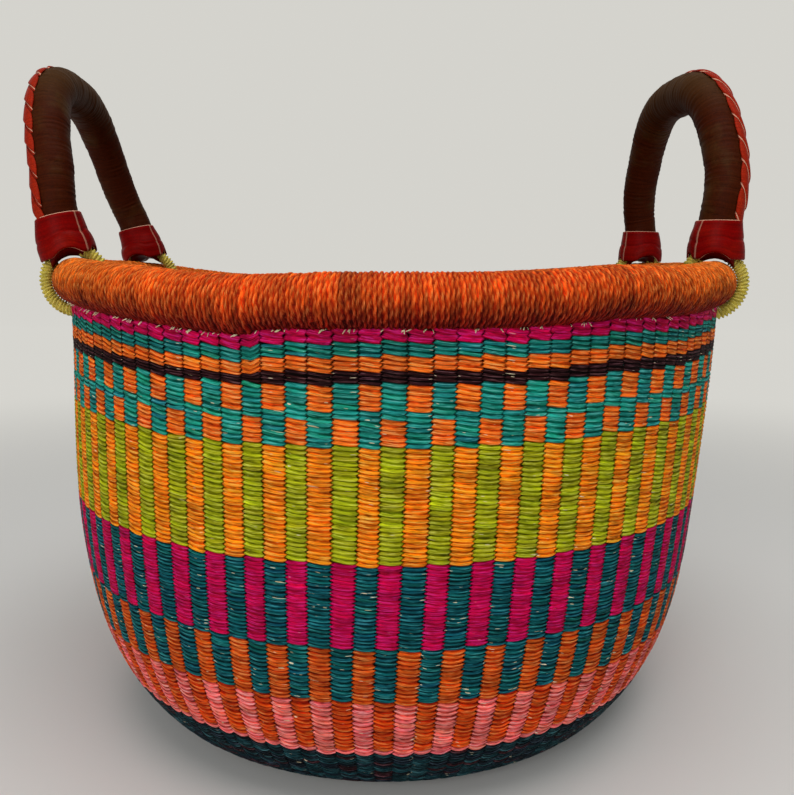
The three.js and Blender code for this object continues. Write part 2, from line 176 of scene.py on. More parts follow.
# The whipping's unevenness: radius in metres, slack in wraps, and tones as shares of the dye for a
# wrap, a run of wraps and a grain. A wrap has so many grains before they come round again
WRAP_LOOSENESS = 0.00010
WRAP_SLACK = 0.15
WRAP_TONE = 0.10
RUN_TONE = 0.05
GRAIN_TONE = 0.16
GRAINS = 32
BROWNEST = 0.15

# Points round the tubes of the rim and the handles, and steps along them
WHIPPING_SIDES = 74
WRAP_SAMPLES = 5
BUNDLE_SIDES = 16
GRIP_SIDES = 40
GRIP_STEPS = 420
LACE_SIDES = 15
LACE_STEPS = 900
CUFF_SIDES = 96
CUFF_STEPS = 34
LINING_SIDES = 48
ROPE_SIDES = 28
ROPE_STEPS = 270

# The grip's folds on the inside of its crown, and how deep it holds its bundle
CROWN_START = 0.072
FOLD_LENGTH = 0.0036
FOLD_HEIGHT = 0.0002
CROWN_SQUEEZE = 0.0003
BUNDLE_DEPTH = 0.0028

# The lacing: its seat in the leather, half width, girth for laying it flat, thickness, and place
# round the grip in degrees at the feet, with the turn towards the crown and towards the cuffs
LACE_SEAT = 0.0004
LACE_WIDTH = (0.0034, 0.0017)
LACE_GIRTH = 0.016
LACE_THICKNESS = (0.0011, 0.0015)
LACE_PLACE = (55, 34, 11)

# The cuffs' swell at stations up their height, the step of the search for their saddles, clearances
# from the roll, and the rope
CUFF_STATIONS = (0, 0.28, 0.5, 0.74, 1)
CUFF_SWELL = (0.0048, 0.0050, 0.0040, 0.0030, 0.0020)
SADDLE_STEP = 0.0001
CUFF_CLEARANCE = 0.0003
CUFF_WAIST = 0.46
LINING_CLEARANCE = 0.0008
ROPE_CREST = LOOP_RADIUS + ROPE_RADIUS + 2 * GAP
ROPE_PLY = 0.0025

# The photograph's camera: width, focal length and sideways shift in pixels, and angles in degrees
PHOTO_WIDTH = 794
PHOTO_FOCAL = 830.5
PHOTO_SHIFT = 3.2
CAMERA_PITCH = 8.86
CAMERA_ROLL = 0.30
CAMERA_PLACE = (RIM_LEAN, -0.5255, 0.262)
SENSOR_WIDTH = 36

# The floor, what it and the backdrop look like far off, and the light from all round
FLOOR_COLOUR = (0.80, 0.79, 0.76)
FAR_COLOUR = (0.66, 0.65, 0.61)
SKY_COLOUR = (0.86, 0.87, 0.88)
BLACK = (0.0, 0.0, 0.0)

# Specular levels
STRAW_SHINE = 0.06
ROPE_SHINE = 0.15
LEATHER_SHINE = 0.04
FLOOR_SHINE = 0.1

# The height above which leather looks rubbed: the grips' crowns, and one that no leather reaches
GRIP_WORN = 0.34
NEVER_WORN = 9

# Swatches of the flecks in the whipping and in straw and rope
WHIPPING_FLECKS = (240, 160, 90)
STRAW_FLECKS = (236, 220, 170)


def dye(red, green, blue):
    """The linear colour of a swatch given as 0 to 255."""
    return tuple(
        v / 255 / 12.92 if v <= 10 else ((v / 255 + 0.055) / 1.055) ** 2.4
        for v in (red, green, blue)
    )


def colour_property(name, description, swatch):
    """A colour with a swatch of 0 to 255 as its default."""
    return bpy.props.FloatVectorProperty(
        name=name, description=description, default=dye(*swatch), size=3, min=0, max=1,
        subtype="COLOR",
    )


def length_property(name, description, default):
    """A length in metres."""
    return bpy.props.FloatProperty(
        name=name, description=description, default=default, precision=5,
        unit="LENGTH", subtype="DISTANCE",
    )


class BasketWeave(bpy.types.PropertyGroup):
    """Sizes of the woven wall"""

    rib_depth: length_property("Rib depth", "How far a column falls back at its sides", 0.0014)
    groove_depth: length_property("Groove depth", "Depth of the grooves between the rows", 0.0010)
    ripple: length_property("Ripple", "How far the rows wander up and down", 0.00032)
    interlock: bpy.props.FloatProperty(
        name="Interlock", description="How far stitch tips reach into the next column", default=0.14
    )
    column_spread: bpy.props.FloatProperty(
        name="Column spread", description="Unevenness of the column widths", default=0.026
    )
    stitch_spread: bpy.props.FloatProperty(
        name="Stitch spread", description="Unevenness of the dye from stitch to stitch", default=0.12
    )
    seed: bpy.props.IntProperty(name="Seed", description="Start of the random unevenness", default=7)


class BasketRim(bpy.types.PropertyGroup):
    """Sizes of the whipped rim roll"""

    wraps: bpy.props.IntProperty(name="Wraps", description="Turns of cord round the roll", default=560)
    ply_radius: length_property("Ply radius", "Radius of one of the cord's two plies", 0.00074)
    ply_offset: length_property("Ply offset", "Distance of a ply from the middle of the cord", 0.00042)
    twist_length: length_property("Twist length", "Length of one full twist of the cord", 0.0112)
    proud: length_property("Proud", "How far the cords stand proud of the plain roll", 0.00025)
    tip_length: length_property("Tip length", "Length of a cut straw tip", 0.0027)


class BasketHandles(bpy.types.PropertyGroup):
    """Sizes of the handles' leather and rope"""

    wrap_width: length_property("Wrap width", "Width of one turn of the leather strip", 0.0135)
    wrap_step: length_property("Wrap step", "Height of the strip's edge", 0.00022)
    wrinkle: length_property("Wrinkle", "Height of the fine wrinkles", 0.00012)
    stitch: length_property("Lacing stitch", "Length of one stitch of the lacing", 0.0128)
    rope_twist: length_property("Rope twist", "Length of one full twist of the loops", 0.0038)
    rope_hug: length_property("Rope hug", "How much nearer the loops are to the roll", 0.0012)
    rope_loose: length_property("Rope looseness", "How much thicker than tight rope", 0.0006)


class StrawColours(bpy.types.PropertyGroup):
    """Dyes of the straw"""

    magenta: colour_property("Magenta", "Band under the rim and columns", (190, 2, 70))
    teal: colour_property("Teal", "Band", (26, 128, 118))
    bright_teal: colour_property("Bright teal", "Checker", (32, 146, 132))
    deep_teal: colour_property("Deep teal", "Lower columns", (8, 88, 94))
    orange: colour_property("Orange", "Checker and band", (244, 114, 32))
    bright_orange: colour_property("Bright orange", "Striped columns", (255, 140, 20))
    lime: colour_property("Lime", "Striped columns", (166, 170, 20))
    black: colour_property("Black", "Near-black band", (44, 15, 18))
    rust: colour_property("Rust", "Lower columns", (205, 84, 20))
    burnt: colour_property("Burnt orange", "Lowest columns", (206, 70, 12))
    pink: colour_property("Pink", "Lowest columns and closing rows", (236, 112, 106))
    base_teal: colour_property("Base teal", "Base", (12, 46, 52))
    base_dark: colour_property("Base dark", "Base", (9, 20, 30))
    base_maroon: colour_property("Base maroon", "Base", (48, 18, 24))
    natural: colour_property("Natural straw", "Cut tips and flecks", (238, 224, 190))
    whipping: colour_property("Whipping", "Rim roll, upper part", (220, 88, 20))
    # The lower part's colour is partly a deeper red and partly painted shade of the roll's underside
    whipping_deep: colour_property("Deep whipping", "Rim roll, lower part", (116, 12, 5))
    whipping_brown: colour_property("Brown whipping", "Browner runs of the rim roll", (126, 66, 22))
    whipping_golden: colour_property("Golden whipping", "Rim roll near the handles", (220, 112, 28))
    rope: colour_property("Rope", "Loops of the handles", (214, 188, 84))


class LeatherColours(bpy.types.PropertyGroup):
    """Leathers of the handles"""

    brown: colour_property("Brown", "Wrapped grip", (58, 18, 2))
    brown_worn: colour_property("Worn brown", "Where hands rub the grip", (72, 52, 24))
    red: colour_property("Red", "Cuffs", (116, 1, 0))
    red_worn: colour_property("Worn red", "Rubbed red leather", (140, 24, 8))
    lacing: colour_property("Lacing", "Lacing strips", (150, 34, 12))
    cut_edge: colour_property("Cut edge", "Raw edges of the red leather", (214, 160, 132))


# Shapes


def joined(*values):
    """Arrays that fit each other as the numbers of every point."""
    return np.stack(np.broadcast_arrays(*values), axis=-1)


def once_round(count):
    """Even angles of one turn."""
    return np.arange(count) / count * TURN


def smooth(value):
    """Zero below 0, one above 1, and between them three times the square less twice the cube."""
    t = np.clip(value, 0, 1)
    return t * t * (3 - 2 * t)


def wall_radius(height):
    """Full radius less a tuck that dies away with height, less a square term close to the floor."""
    foot = np.maximum(0, 1 - height / FOOT_HEIGHT)
    return WALL_RADIUS - TUCK * np.exp(-height / TUCK_HEIGHT) - FOOT_ROUND * foot**2


def turned(angle, radius, height):
    """Points at an angle from the front: the rim dips between the handles, waves by a few bell
    curves and leans towards +X, and the last rows sink in a straight line towards their joint."""
    x, y = radius * np.sin(angle), -radius * np.cos(angle)
    degrees = np.degrees(angle)
    turn = np.abs(np.cos(angle))
    level = np.clip((height - DIP_START) / (ROLL_HEIGHT - DIP_START), 0, 1)
    dip = RIM_DIP * level * smooth((turn - DIP_NONE) / (DIP_FULL - DIP_NONE))
    for middle, width, lift in RIM_WAVES:
        off = (degrees - middle + 180) % 360 - 180
        dip = dip - lift * level * np.exp(-((off / width) ** 2))
    off = (degrees - JOINT_ANGLE + 180) % 360 - 180
    sunk = JOINT_DROP * np.clip(1 + off / JOINT_RUN, 0, 1) * smooth(-off / JOINT_STEP)
    dip = dip + sunk * np.interp(height, JOINT_HEIGHTS, (0, 1, 1, 0))
    lean = RIM_LEAN * smooth((height - LEAN_START) / (WALL_TOP - LEAN_START))
    return joined(x + lean, y, height - dip)


class Run:
    """An outline of (radius, height) points that weaving follows, looked up by distance along it.

    The face of the weave is on the left of the way down when side is 1, and on the right when -1.
    """

    def __init__(self, radius, height, side):
        step = np.hypot(np.diff(radius), np.diff(height))
        self.distance = np.concatenate([[0], np.cumsum(step)])
        self.radius, self.height = radius, height
        along_r = np.gradient(radius, self.distance)
        along_z = np.gradient(height, self.distance)
        length = np.hypot(along_r, along_z)
        self.normal_r, self.normal_z = -side * along_z / length, side * along_r / length

    def at_height(self, height):
        """The distance at which the outline has come down to a height."""
        return float(np.interp(-height, -self.height, self.distance))

    def place(self, angle, distance, depth):
        """Points at angles and distances along the outline, sunk by a depth below its face."""
        r, z, nr, nz = (
            np.interp(distance, self.distance, values)
            for values in (self.radius, self.height, self.normal_r, self.normal_z)
        )
        return turned(angle, r - nr * depth, z - nz * depth)


def outer_run():
    """Down the outside of the wall and inwards under the base to its middle."""
    height = np.append(np.linspace(WALL_TOP + HIDDEN_TOP, 0.03, 200), np.linspace(0.0297, 0, 160))
    under = np.linspace(wall_radius(0.0) - 0.0004, RUN_END, 200)
    radius = np.concatenate([wall_radius(height), under])
    return Run(radius, np.concatenate([height, np.zeros_like(under)]), 1)


def inner_run():
    """Down the inside of the wall, a thickness behind the outside, and inwards over the floor."""
    height = np.linspace(WALL_TOP + HIDDEN_TOP, 0, 600)
    slope = np.gradient(wall_radius(height), height)
    length = np.hypot(1, slope)
    radius = wall_radius(height) - WALL_THICKNESS / length
    raised = height + WALL_THICKNESS * slope / length
    kept = raised > WALL_THICKNESS + 0.0004
    floor = np.linspace(radius[kept][-1] - 0.0005, RUN_END, 240)
    radius = np.concatenate([radius[kept], floor])
    return Run(radius, np.concatenate([raised[kept], np.full_like(floor, WALL_THICKNESS)]), -1)


def tube_faces(tubes, levels, around):
    """Quads between neighbouring loops of closed tubes, and one cap at each end of every tube."""
    index = np.arange(tubes * levels * around).reshape(tubes, levels, around)
    beside = np.roll(index, -1, axis=2)
    quads = np.stack([index[:, :-1], beside[:, :-1], beside[:, 1:], index[:, 1:]], axis=-1)
    return quads.reshape(-1, 4), np.concatenate([index[:, 0, ::-1], index[:, -1]])


def volume(points, faces):
    """Six times the volume that groups of faces enclose, below zero where they are inside out."""
    total = 0
    for group in faces:
        corners = np.moveaxis(points.reshape(-1, 3)[group], 1, 0)
        total += np.sum(corners[0] * np.cross(corners[1:-1], corners[2:]))
    return total


def put_object(name, data):
    """A new object in the scene."""
    made = bpy.data.objects.new(name, data)
    bpy.context.scene.collection.objects.link(made)
    return made


def put_mesh(name, points, faces, flat, values):
    """Makes a piece of points, groups of faces with as many corners each, and the corners laid flat.

    Faces that are inside out are turned. Values are the named point attributes: three numbers each,
    or a colour where the name is "dye".
    """
    if volume(points, faces) < 0:
        faces = [group[:, ::-1] for group in faces]
        flat = [group[:, ::-1] for group in flat]
    corners = np.concatenate([group.ravel() for group in faces]).astype(np.int32)
    sides = np.concatenate([np.full(len(group), group.shape[1]) for group in faces])
    place = np.concatenate([group.reshape(-1, 2) for group in flat])
    mesh = bpy.data.meshes.new(name)
    mesh.vertices.add(points.size // 3)
    mesh.vertices.foreach_set("co", points.astype(np.float32).ravel())
    mesh.loops.add(len(corners))
    mesh.loops.foreach_set("vertex_index", corners)
    mesh.polygons.add(len(sides))
    mesh.polygons.foreach_set("loop_start", (np.cumsum(sides) - sides).astype(np.int32))
    mesh.polygons.foreach_set("use_smooth", np.ones(len(sides), bool))
    mesh.update(calc_edges=True)
    mesh.uv_layers.new(name="OFBake").data.foreach_set("uv", place.astype(np.float32).ravel())
    for key, value in values.items():
        full = np.broadcast_to(value, points.shape).reshape(-1, 3)
        kind, field = "FLOAT_VECTOR", "vector"
        if key == "dye":
            kind, field = "FLOAT_COLOR", "color"
            full = np.concatenate([full, np.ones((len(full), 1))], axis=1)
        layer = mesh.attributes.new(key, kind, "POINT")
        layer.data.foreach_set(field, full.astype(np.float32).ravel())
    return put_object(name, mesh)


def bake_cells(tubes, levels, around, shares, size, chunks):
    """Lays every tube's skin flat in cells of the unit square, which don't touch each other.

    A tube is cut into chunks along its length. Corners go round the quads as in tube_faces. Caps
    become small rings of corners in the margins of their tube's first and last cell.
    """
    girth, length = size
    count = tubes * chunks
    wide = max(1, round(math.sqrt(count * (length / chunks) / girth)))
    tall = math.ceil(count / wide)
    margin = 0.05
    level = np.arange(levels - 1)
    steps = math.ceil((levels - 1) / chunks)
    cell = np.arange(tubes)[:, None] * chunks + level // steps
    column, row = cell % wide, cell // wide
    ends = np.append(shares, 1.0)
    u = np.stack([ends[:-1], ends[1:], ends[1:], ends[:-1]], axis=-1)
    v = (level % steps)[:, None, None] / steps + np.array([0, 0, 1, 1]) / steps
    flat = joined(
        (column[..., None, None] + margin + (1 - 2 * margin) * u) / wide,
        (row[..., None, None] + 2 * margin + (1 - 4 * margin) * v) / tall,
    )
    turn = once_round(around)
    rings = [
        joined(
            (column[:, end, None] + 0.5 + 0.4 * np.cos(turn)) / wide,
            (row[:, end, None] + centre + way * 0.5 * margin * np.sin(turn)) / tall,
        )
        for end, centre, way in ((0, margin, -1), (-1, 1 - margin, 1))
    ]
    return flat.reshape(-1, 4, 2), np.concatenate(rings)


def put_tubes(name, points, shares, size, values, chunks=1):
    """Makes one mesh of closed tubes from points of shape (tubes, levels, around, 3).

    shares places the points of a loop along its girth, size is (girth, length) of a tube, and each
    tube is laid flat in chunks.
    """
    tubes, levels, around = points.shape[:3]
    faces = tube_faces(tubes, levels, around)
    flat = bake_cells(tubes, levels, around, shares, size, chunks)
    return put_mesh(name, points, faces, flat, values)


def put_tube(name, points, size, values, chunks=1):
    """Makes a single closed tube from points of shape (levels, around, 3)."""
    around = points.shape[1]
    values = {key: value[None] for key, value in values.items()}
    return put_tubes(name, points[None], np.arange(around) / around * 0.98, size, values, chunks)


def put_ring(name, points, values):
    """A closed ring: loops of points (around, section, 3) joined to each other all the way round."""
    around, section = points.shape[:2]
    index = np.arange(around * section).reshape(around, section)
    beside, further = np.roll(index, -1, axis=1), np.roll(index, -1, axis=0)
    quads = np.stack([index, beside, np.roll(further, -1, axis=1), further], axis=-1)
    u = np.arange(around)[:, None, None] / around + np.array([0, 0, 1, 1]) / around
    v = np.append(0, np.cumsum(np.linalg.norm(np.diff(points[0], axis=0), axis=1)))
    v = v / (v[-1] * 1.02)
    after = np.append(v[1:], 1.0)
    flat = 0.01 + 0.98 * joined(u, np.stack([v, after, after, v], axis=-1))
    return put_mesh(name, points, [quads.reshape(-1, 4)], [flat.reshape(-1, 4, 2)], values)


def hand_over(piece, material, body, slot, *nodes):
    """Gives a piece its material and body, and hides the nodes that it stands for. Its slot is not used.
    """
    piece.data.materials.append(material)
    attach(piece, body)
    if nodes:
        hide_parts(*nodes)
    return piece


def uneven_borders(count, seed, spread):
    """Angles of the column borders: even steps, plus a shift that drifts with the distance."""
    rng = np.random.default_rng(seed)
    fixed, swing = rng.normal(0, 1, (2, count))
    phase = rng.uniform(0, TURN, count)
    step = TURN / count

    def border(column, distance):
        """The angle of a column's left border at a distance."""
        k = column % count
        drift = fixed[k] + 0.7 * swing[k] * np.sin(distance / 0.035 + phase[k])
        return step * (column - 0.5 + spread * drift)

    return border


def wander(angle, distance, size):
    """A sum of slow waves round the wall that moves rows up and down."""
    return size * (
        np.sin(5 * angle + 1.3 + distance / 0.06)
        + 0.8 * np.sin(13 * angle + 0.4 - distance / 0.045)
        + 0.7 * np.sin(31 * angle + 2.2 + distance / 0.03)
    )


def column_lean(height):
    """How far the columns stand aside at a height, in metres along the wall: a bell curve."""
    return ASIDE + ASIDE_BELL * np.exp(-(((height - BELL_HEIGHT) / BELL_SPREAD) ** 2))


def eased(values, level, rows):
    """A stretch's own value, which turns into the mean with its neighbour's at the end rows: each
    end adds half the difference, dying away as an exponential of the distance in rows."""
    before, own, after = values
    at_start, at_end = np.exp(-level / BLEND_ROWS), np.exp((level - rows) / BLEND_ROWS)
    return own + (before - own) / 2 * at_start + (after - own) / 2 * at_end


def weave(weaving, run, start, end, rows, options):
    """A stretch of woven columns between two distances along a run, as closed tubes.

    Across a column u runs from -1 to 1 and down it v counts rows. A column falls back at its sides as
    a flattened circle, and a stitch as another about its own middle line, narrower towards its
    tips. Borders zigzag so that tips interlock, odd columns sit up to half a row lower, and stitches
    slope down to the right and sag as a parabola. Returns the points, (column, row, coarseness) at
    them, the points' shares of a column's width, and the row at each level.
    """
    count = options.get("columns", COLUMNS)
    across = np.array(options.get("across", ACROSS_FINE))
    within = np.array(options.get("within", WITHIN_FINE))
    fade = options.get("fade", 1.0)
    inside = options.get("inside", False)
    rng = np.random.default_rng(weaving.seed + options["seed"])
    border = uneven_borders(count, weaving.seed + count, weaving.column_spread)
    column = np.arange(count)[:, None, None]
    level = np.append((np.arange(rows)[:, None] + within).ravel(), rows)[None, :, None]
    row = np.minimum(level.astype(int)[0, :, 0], rows - 1)
    u = across[None, None, :]

    def by_stitch(values):
        """One number for each stitch, at every level of its column."""
        return np.take(np.broadcast_to(values, (count, rows)), row, axis=1)[:, :, None]

    odd = column % 2
    pitch = (end - start) / rows
    first = start + (odd - 0.5) * options["stagger"][0]
    last = end + (odd - 0.5) * options["stagger"][1]
    distance = first + (last - first) * level / rows
    shift = 0.5 if inside else 0
    left, right = (
        border(column + side, distance) * (1 - shift) + border(column + side + 1, distance) * shift
        for side in (0, 1)
    )
    slope, sag, rib, groove = (eased(values, level, rows) for values in options["shape"])
    slope = -slope if inside else slope
    jag = 1 - weaving.interlock * np.cos(TURN * (level + slope * u))
    angle = (left + right) / 2 + (right - left) / 2 * u * jag
    angle = angle + column_lean(np.interp(distance, run.distance, run.height)) / WALL_RADIUS
    shifted = by_stitch(rng.normal(0, STITCH_SHIFT, (count, rows)))
    tilt = by_stitch(rng.normal(0, STITCH_TILT, (count, rows)))
    loose = shifted * np.clip(np.minimum(level, rows - level), 0, 1)
    moved = distance + pitch * ((slope + tilt * fade) * u + sag * (1 - u**2) + loose * fade)
    moved = moved - wander(angle, distance, weaving.ripple * fade)
    off_middle = 2 * np.abs(level % 1 - 0.5)
    reach = 1 - 0.10 * np.abs(u) ** 3
    round_stitch = 1 - np.sqrt(np.clip(1 - (off_middle / reach) ** 2, 0, 1))
    round_rib = 1 - np.sqrt(1 - 0.8 * u**2)
    fill = 1 - 0.65 * u**4
    coarse = by_stitch(options.get("coarse", 1.0))
    thick = by_stitch(rng.uniform(0, 1, (count, rows)))
    bold = groove * (0.3 + 0.7 * np.minimum(coarse, 1))
    depth = (
        weaving.rib_depth * rib * round_rib
        + weaving.groove_depth * bold * round_stitch * fill
        + STITCH_THICKNESS * thick * coarse * (1 - off_middle)
    )
    strand = joined(column + (u + 1) / 2, level, coarse)
    return run.place(angle, moved, depth), strand, (across + 1) / 2 * 0.94, row


def stitch_dyes(first, second, kinds, row, spread, seed):
    """Each stitch has its own kind of dye, 0 or 1, and its own random share of darkness and warmth."""
    rng = np.random.default_rng(seed)
    first, second = np.array(first), np.array(second)
    base = first + (second - first) * kinds[..., None]
    shade = np.exp(rng.normal(0, spread, kinds.shape))[..., None]
    warm = rng.normal(0, 0.6 * spread, kinds.shape)[..., None] * np.array([0.3, 1.0, -0.5])
    stitches = np.clip(base * shade * (1 + warm), 0, 1)
    return np.take(stitches, row, axis=1)[:, :, None, :]


def band_kinds(rows, change, columns, closing):
    """Which dye each stitch has: odd columns the first and even ones the second, swapped after the
    changeover, rows between the two changeovers all in the second, and closing rows in the first."""
    row = np.arange(rows)[None]
    even = (np.arange(columns) % 2 == 0)[:, None]
    if change < rows:
        kinds = np.where(even, row < rows - change, row >= change)
    else:
        kinds = np.broadcast_to(even, (columns, rows))
    return np.where(row >= rows - closing, 0, kinds).astype(float)


def wall_stretches(run):
    """Start, end, and the stagger at both, of every band along a run."""
    tops = [WALL_TOP + 0.001] + [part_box(band[0])[1].z + GAP for band in BANDS[1:]]
    tops.append(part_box("band_pink_rust")[0].z - GAP)
    places = [run.at_height(top) for top in tops]
    pitches = [(places[i + 1] - places[i]) / BANDS[i][1] for i in range(len(BANDS))] + [BASE_PITCH]
    share = np.interp(np.arange(len(places)), (0, 3, 4), (0.3, 0.34, 0.5))
    staggers = [share[0] * pitches[0]]
    staggers += [share[i + 1] / 2 * (pitches[i] + pitches[i + 1]) for i in range(len(BANDS))]
    return [(places[i], places[i + 1], staggers[i : i + 2]) for i in range(len(BANDS))]


def ripples(along, around, seed, count, frequencies):
    """A seeded sum of sines of two coordinates, about one in height."""
    rng = np.random.default_rng(seed)
    total = 0
    for _ in range(count):
        a, b = rng.uniform(-1, 1, 2) * frequencies
        total = total + np.sin(a * along + np.round(b) * around + rng.uniform(0, TURN))
    return total / math.sqrt(count)


# The handles' shapes


def hinge(handle):
    """The middle of a handle's hinge line."""
    reach = math.sqrt(ROLL_CIRCLE**2 - LEG_SPREAD**2)
    return np.array([RIM_LEAN + handle["side"] * reach, 0, ROLL_HEIGHT])


def on_roll(angle, turn, radius):
    """Points round the rim roll: turn 0 underneath and a quarter turn outwards."""
    return turned(angle, ROLL_CIRCLE + radius * np.sin(turn), ROLL_HEIGHT - radius * np.cos(turn))


def on_handle(handle, points):
    """Leans points of a handle's own frame about its hinge line and moves them to it."""
    angle = math.radians(handle["side"] * handle["lean"])
    c, s = math.cos(angle), math.sin(angle)
    x, y, z = np.moveaxis(points, -1, 0)
    return joined(c * x + s * z, y, c * z - s * x) + hinge(handle)


def standing(handle, y, height):
    """Bows the flat arch outwards along Y with half a sine, twists it about its upright line, and
    bends its crown aside with the cube of the height."""
    share = climbed(handle, height)
    bowed = y * (1 + ARCH_BOW * np.sin(math.pi * share))
    skew = math.tan(math.radians(handle["twist"])) * smooth((height - TWIST_START) / TWIST_RUN)
    return joined(handle["bend"] * share**3 - bowed * skew, bowed, height)


def arch_path(handle, foot, count):
    """Even steps along the arch: straight legs, and between them powers of a cosine and a sine."""
    leg = np.linspace(foot, LEG_STRAIGHT, 30)[:-1]
    t = (1 - np.cos(np.linspace(0, math.pi, 900))) / 2
    cosine = np.cos(math.pi * t)
    y = -LEG_SPREAD * np.sign(cosine) * np.abs(cosine) ** SHOULDER_SPREAD
    rise = handle["rise"] - LEG_STRAIGHT
    height = LEG_STRAIGHT + rise * np.clip(np.sin(math.pi * t), 0, 1) ** SHOULDER_RISE
    y = np.concatenate([np.full_like(leg, -LEG_SPREAD), y, np.full_like(leg, LEG_SPREAD)])
    height = np.concatenate([leg, height, leg[::-1]])
    return even_steps(standing(handle, y, height), count)


def unit(vectors):
    """Vectors at a length of one."""
    return vectors / np.linalg.norm(vectors, axis=1, keepdims=True)


def even_steps(path, count):
    """Resamples a path to evenly spaced points."""
    step = np.linalg.norm(np.diff(path, axis=0), axis=1)
    distance = np.concatenate([[0], np.cumsum(step)])
    wanted = np.linspace(0, distance[-1], count)
    return joined(*(np.interp(wanted, distance, path[:, k]) for k in range(3))), wanted


def arch_frame(handle, foot, count):
    """A path along the arch, the outboard direction made square to it, the direction square to
    both, which points away from the middle of the arch, and the distance along the path."""
    path, distance = arch_path(handle, foot, count)
    outboard = np.array([handle["side"], 0.0, 0.0])
    along = unit(np.gradient(path, axis=0))
    out = unit(outboard - along * (along @ outboard)[:, None])
    away = np.cross(along, out) * -handle["side"]
    return path[:, None], out[:, None], away[:, None], distance[:, None]


def climbed(handle, height):
    """How far up the arch a height is: 0 at the feet and 1 at the crown."""
    return np.clip((height - LEG_FOOT) / (handle["rise"] - LEG_FOOT), 0, 1)


def leather_radius(handle, height):
    """The grip's radius, which swells with the square of the way up."""
    return LEG_RADIUS + handle["swell"] * climbed(handle, height) ** 2


def tube_round(path, out, away, angle, radius):
    """Points round a path: angle 0 away from the arch's middle and a quarter turn outboard."""
    aside = away * (radius * np.cos(angle))[..., None]
    return path + aside + out * (radius * np.sin(angle))[..., None]


def legs():
    """Every leg: its handle's name and sizes, which end of the arch it is, and the word for that."""
    for name, handle in HANDLES.items():
        yield name, handle, -1, "front"
        yield name, handle, 1, "rear"


def saddle_foot(outboard, end, along, lowest, clearance):
    """The least height from lowest upwards at which a point beside the middle of a leg clears the
    roll at every angle of the swing."""
    y = end * LEG_SPREAD + along
    slant = np.sqrt(1 - (y / ROLL_CIRCLE) ** 2)
    middle = ROLL_CIRCLE * slant - math.sqrt(ROLL_CIRCLE**2 - LEG_SPREAD**2)
    wide, tall = ROLL_RADIUS / slant + clearance, ROLL_RADIUS + clearance
    height = lowest[..., None, None] + np.arange(80)[:, None] * SADDLE_STEP
    swing = np.radians(np.arange(-SWING_IN, SWING_OUT + 1, 5))
    c, s = np.cos(swing), np.sin(swing)
    off = outboard[..., None, None] * c + height * s - middle[..., None, None]
    up = height * c - outboard[..., None, None] * s
    meets = ((off / wide[..., None, None]) ** 2 + (up / tall) ** 2 < 1).any(axis=-1)
    return lowest + np.argmin(meets, axis=-1) * SADDLE_STEP


# Materials


def node(tree, kind, inputs=None, **settings):
    """Adds a node. An input that is a socket is linked, and any other value is set."""
    made = tree.nodes.new(kind)
    for key, value in settings.items():
        setattr(made, key, value)
    for key, value in (inputs or {}).items():
        if isinstance(value, bpy.types.NodeSocket):
            tree.links.new(value, made.inputs[key])
        else:
            made.inputs[key].default_value = value
    return made


def calc(tree, operation, *values):
    """The result of a math node."""
    return node(tree, "ShaderNodeMath", dict(enumerate(values)), operation=operation).outputs[0]


def blend(tree, factor, low, high, way="MIX"):
    """Mixes two colours by a factor."""
    low = (*low, 1) if isinstance(low, tuple) and len(low) == 3 else low
    high = (*high, 1) if isinstance(high, tuple) and len(high) == 3 else high
    return node(
        tree, "ShaderNodeMix", {0: factor, 6: low, 7: high}, data_type="RGBA", blend_type=way
    ).outputs[2]


def between(tree, value, low, high, to_low=0.0, to_high=1.0):
    """Maps low..high to to_low..to_high, smoothly and clamped."""
    return node(
        tree,
        "ShaderNodeMapRange",
        {0: value, 1: low, 2: high, 3: to_low, 4: to_high},
        interpolation_type="SMOOTHSTEP",
    ).outputs[0]


def noise(tree, vector, scale, detail=2.0, roughness=0.5):
    """A noise texture's height, about 0.5."""
    inputs = {"Vector": vector, "Scale": scale, "Detail": detail, "Roughness": roughness}
    return node(tree, "ShaderNodeTexNoise", inputs).outputs["Fac"]


def vector_of(tree, x, y, z):
    """A vector of three numbers."""
    return node(tree, "ShaderNodeCombineXYZ", {0: x, 1: y, 2: z}).outputs[0]


def toned(tree, colour, tone):
    """A colour times a number."""
    return blend(tree, 1.0, colour, vector_of(tree, tone, tone, tone), "MULTIPLY")


def attribute(tree, name, output="Vector"):
    """A point attribute of the piece."""
    return node(tree, "ShaderNodeAttribute", attribute_name=name).outputs[output]


def parts(tree, vector):
    """The three numbers of a vector."""
    return node(tree, "ShaderNodeSeparateXYZ", {0: vector}).outputs


def group(name, inputs, outputs):
    """A shader node group with named inputs and outputs. Returns it and its two end nodes."""
    tree = bpy.data.node_groups.new(name, "ShaderNodeTree")
    for label, kind, default in inputs:
        socket = tree.interface.new_socket(label, in_out="INPUT", socket_type=kind)
        socket.default_value = default
    for label, kind in outputs:
        tree.interface.new_socket(label, in_out="OUTPUT", socket_type=kind)
    return tree, tree.nodes.new("NodeGroupInput"), tree.nodes.new("NodeGroupOutput")


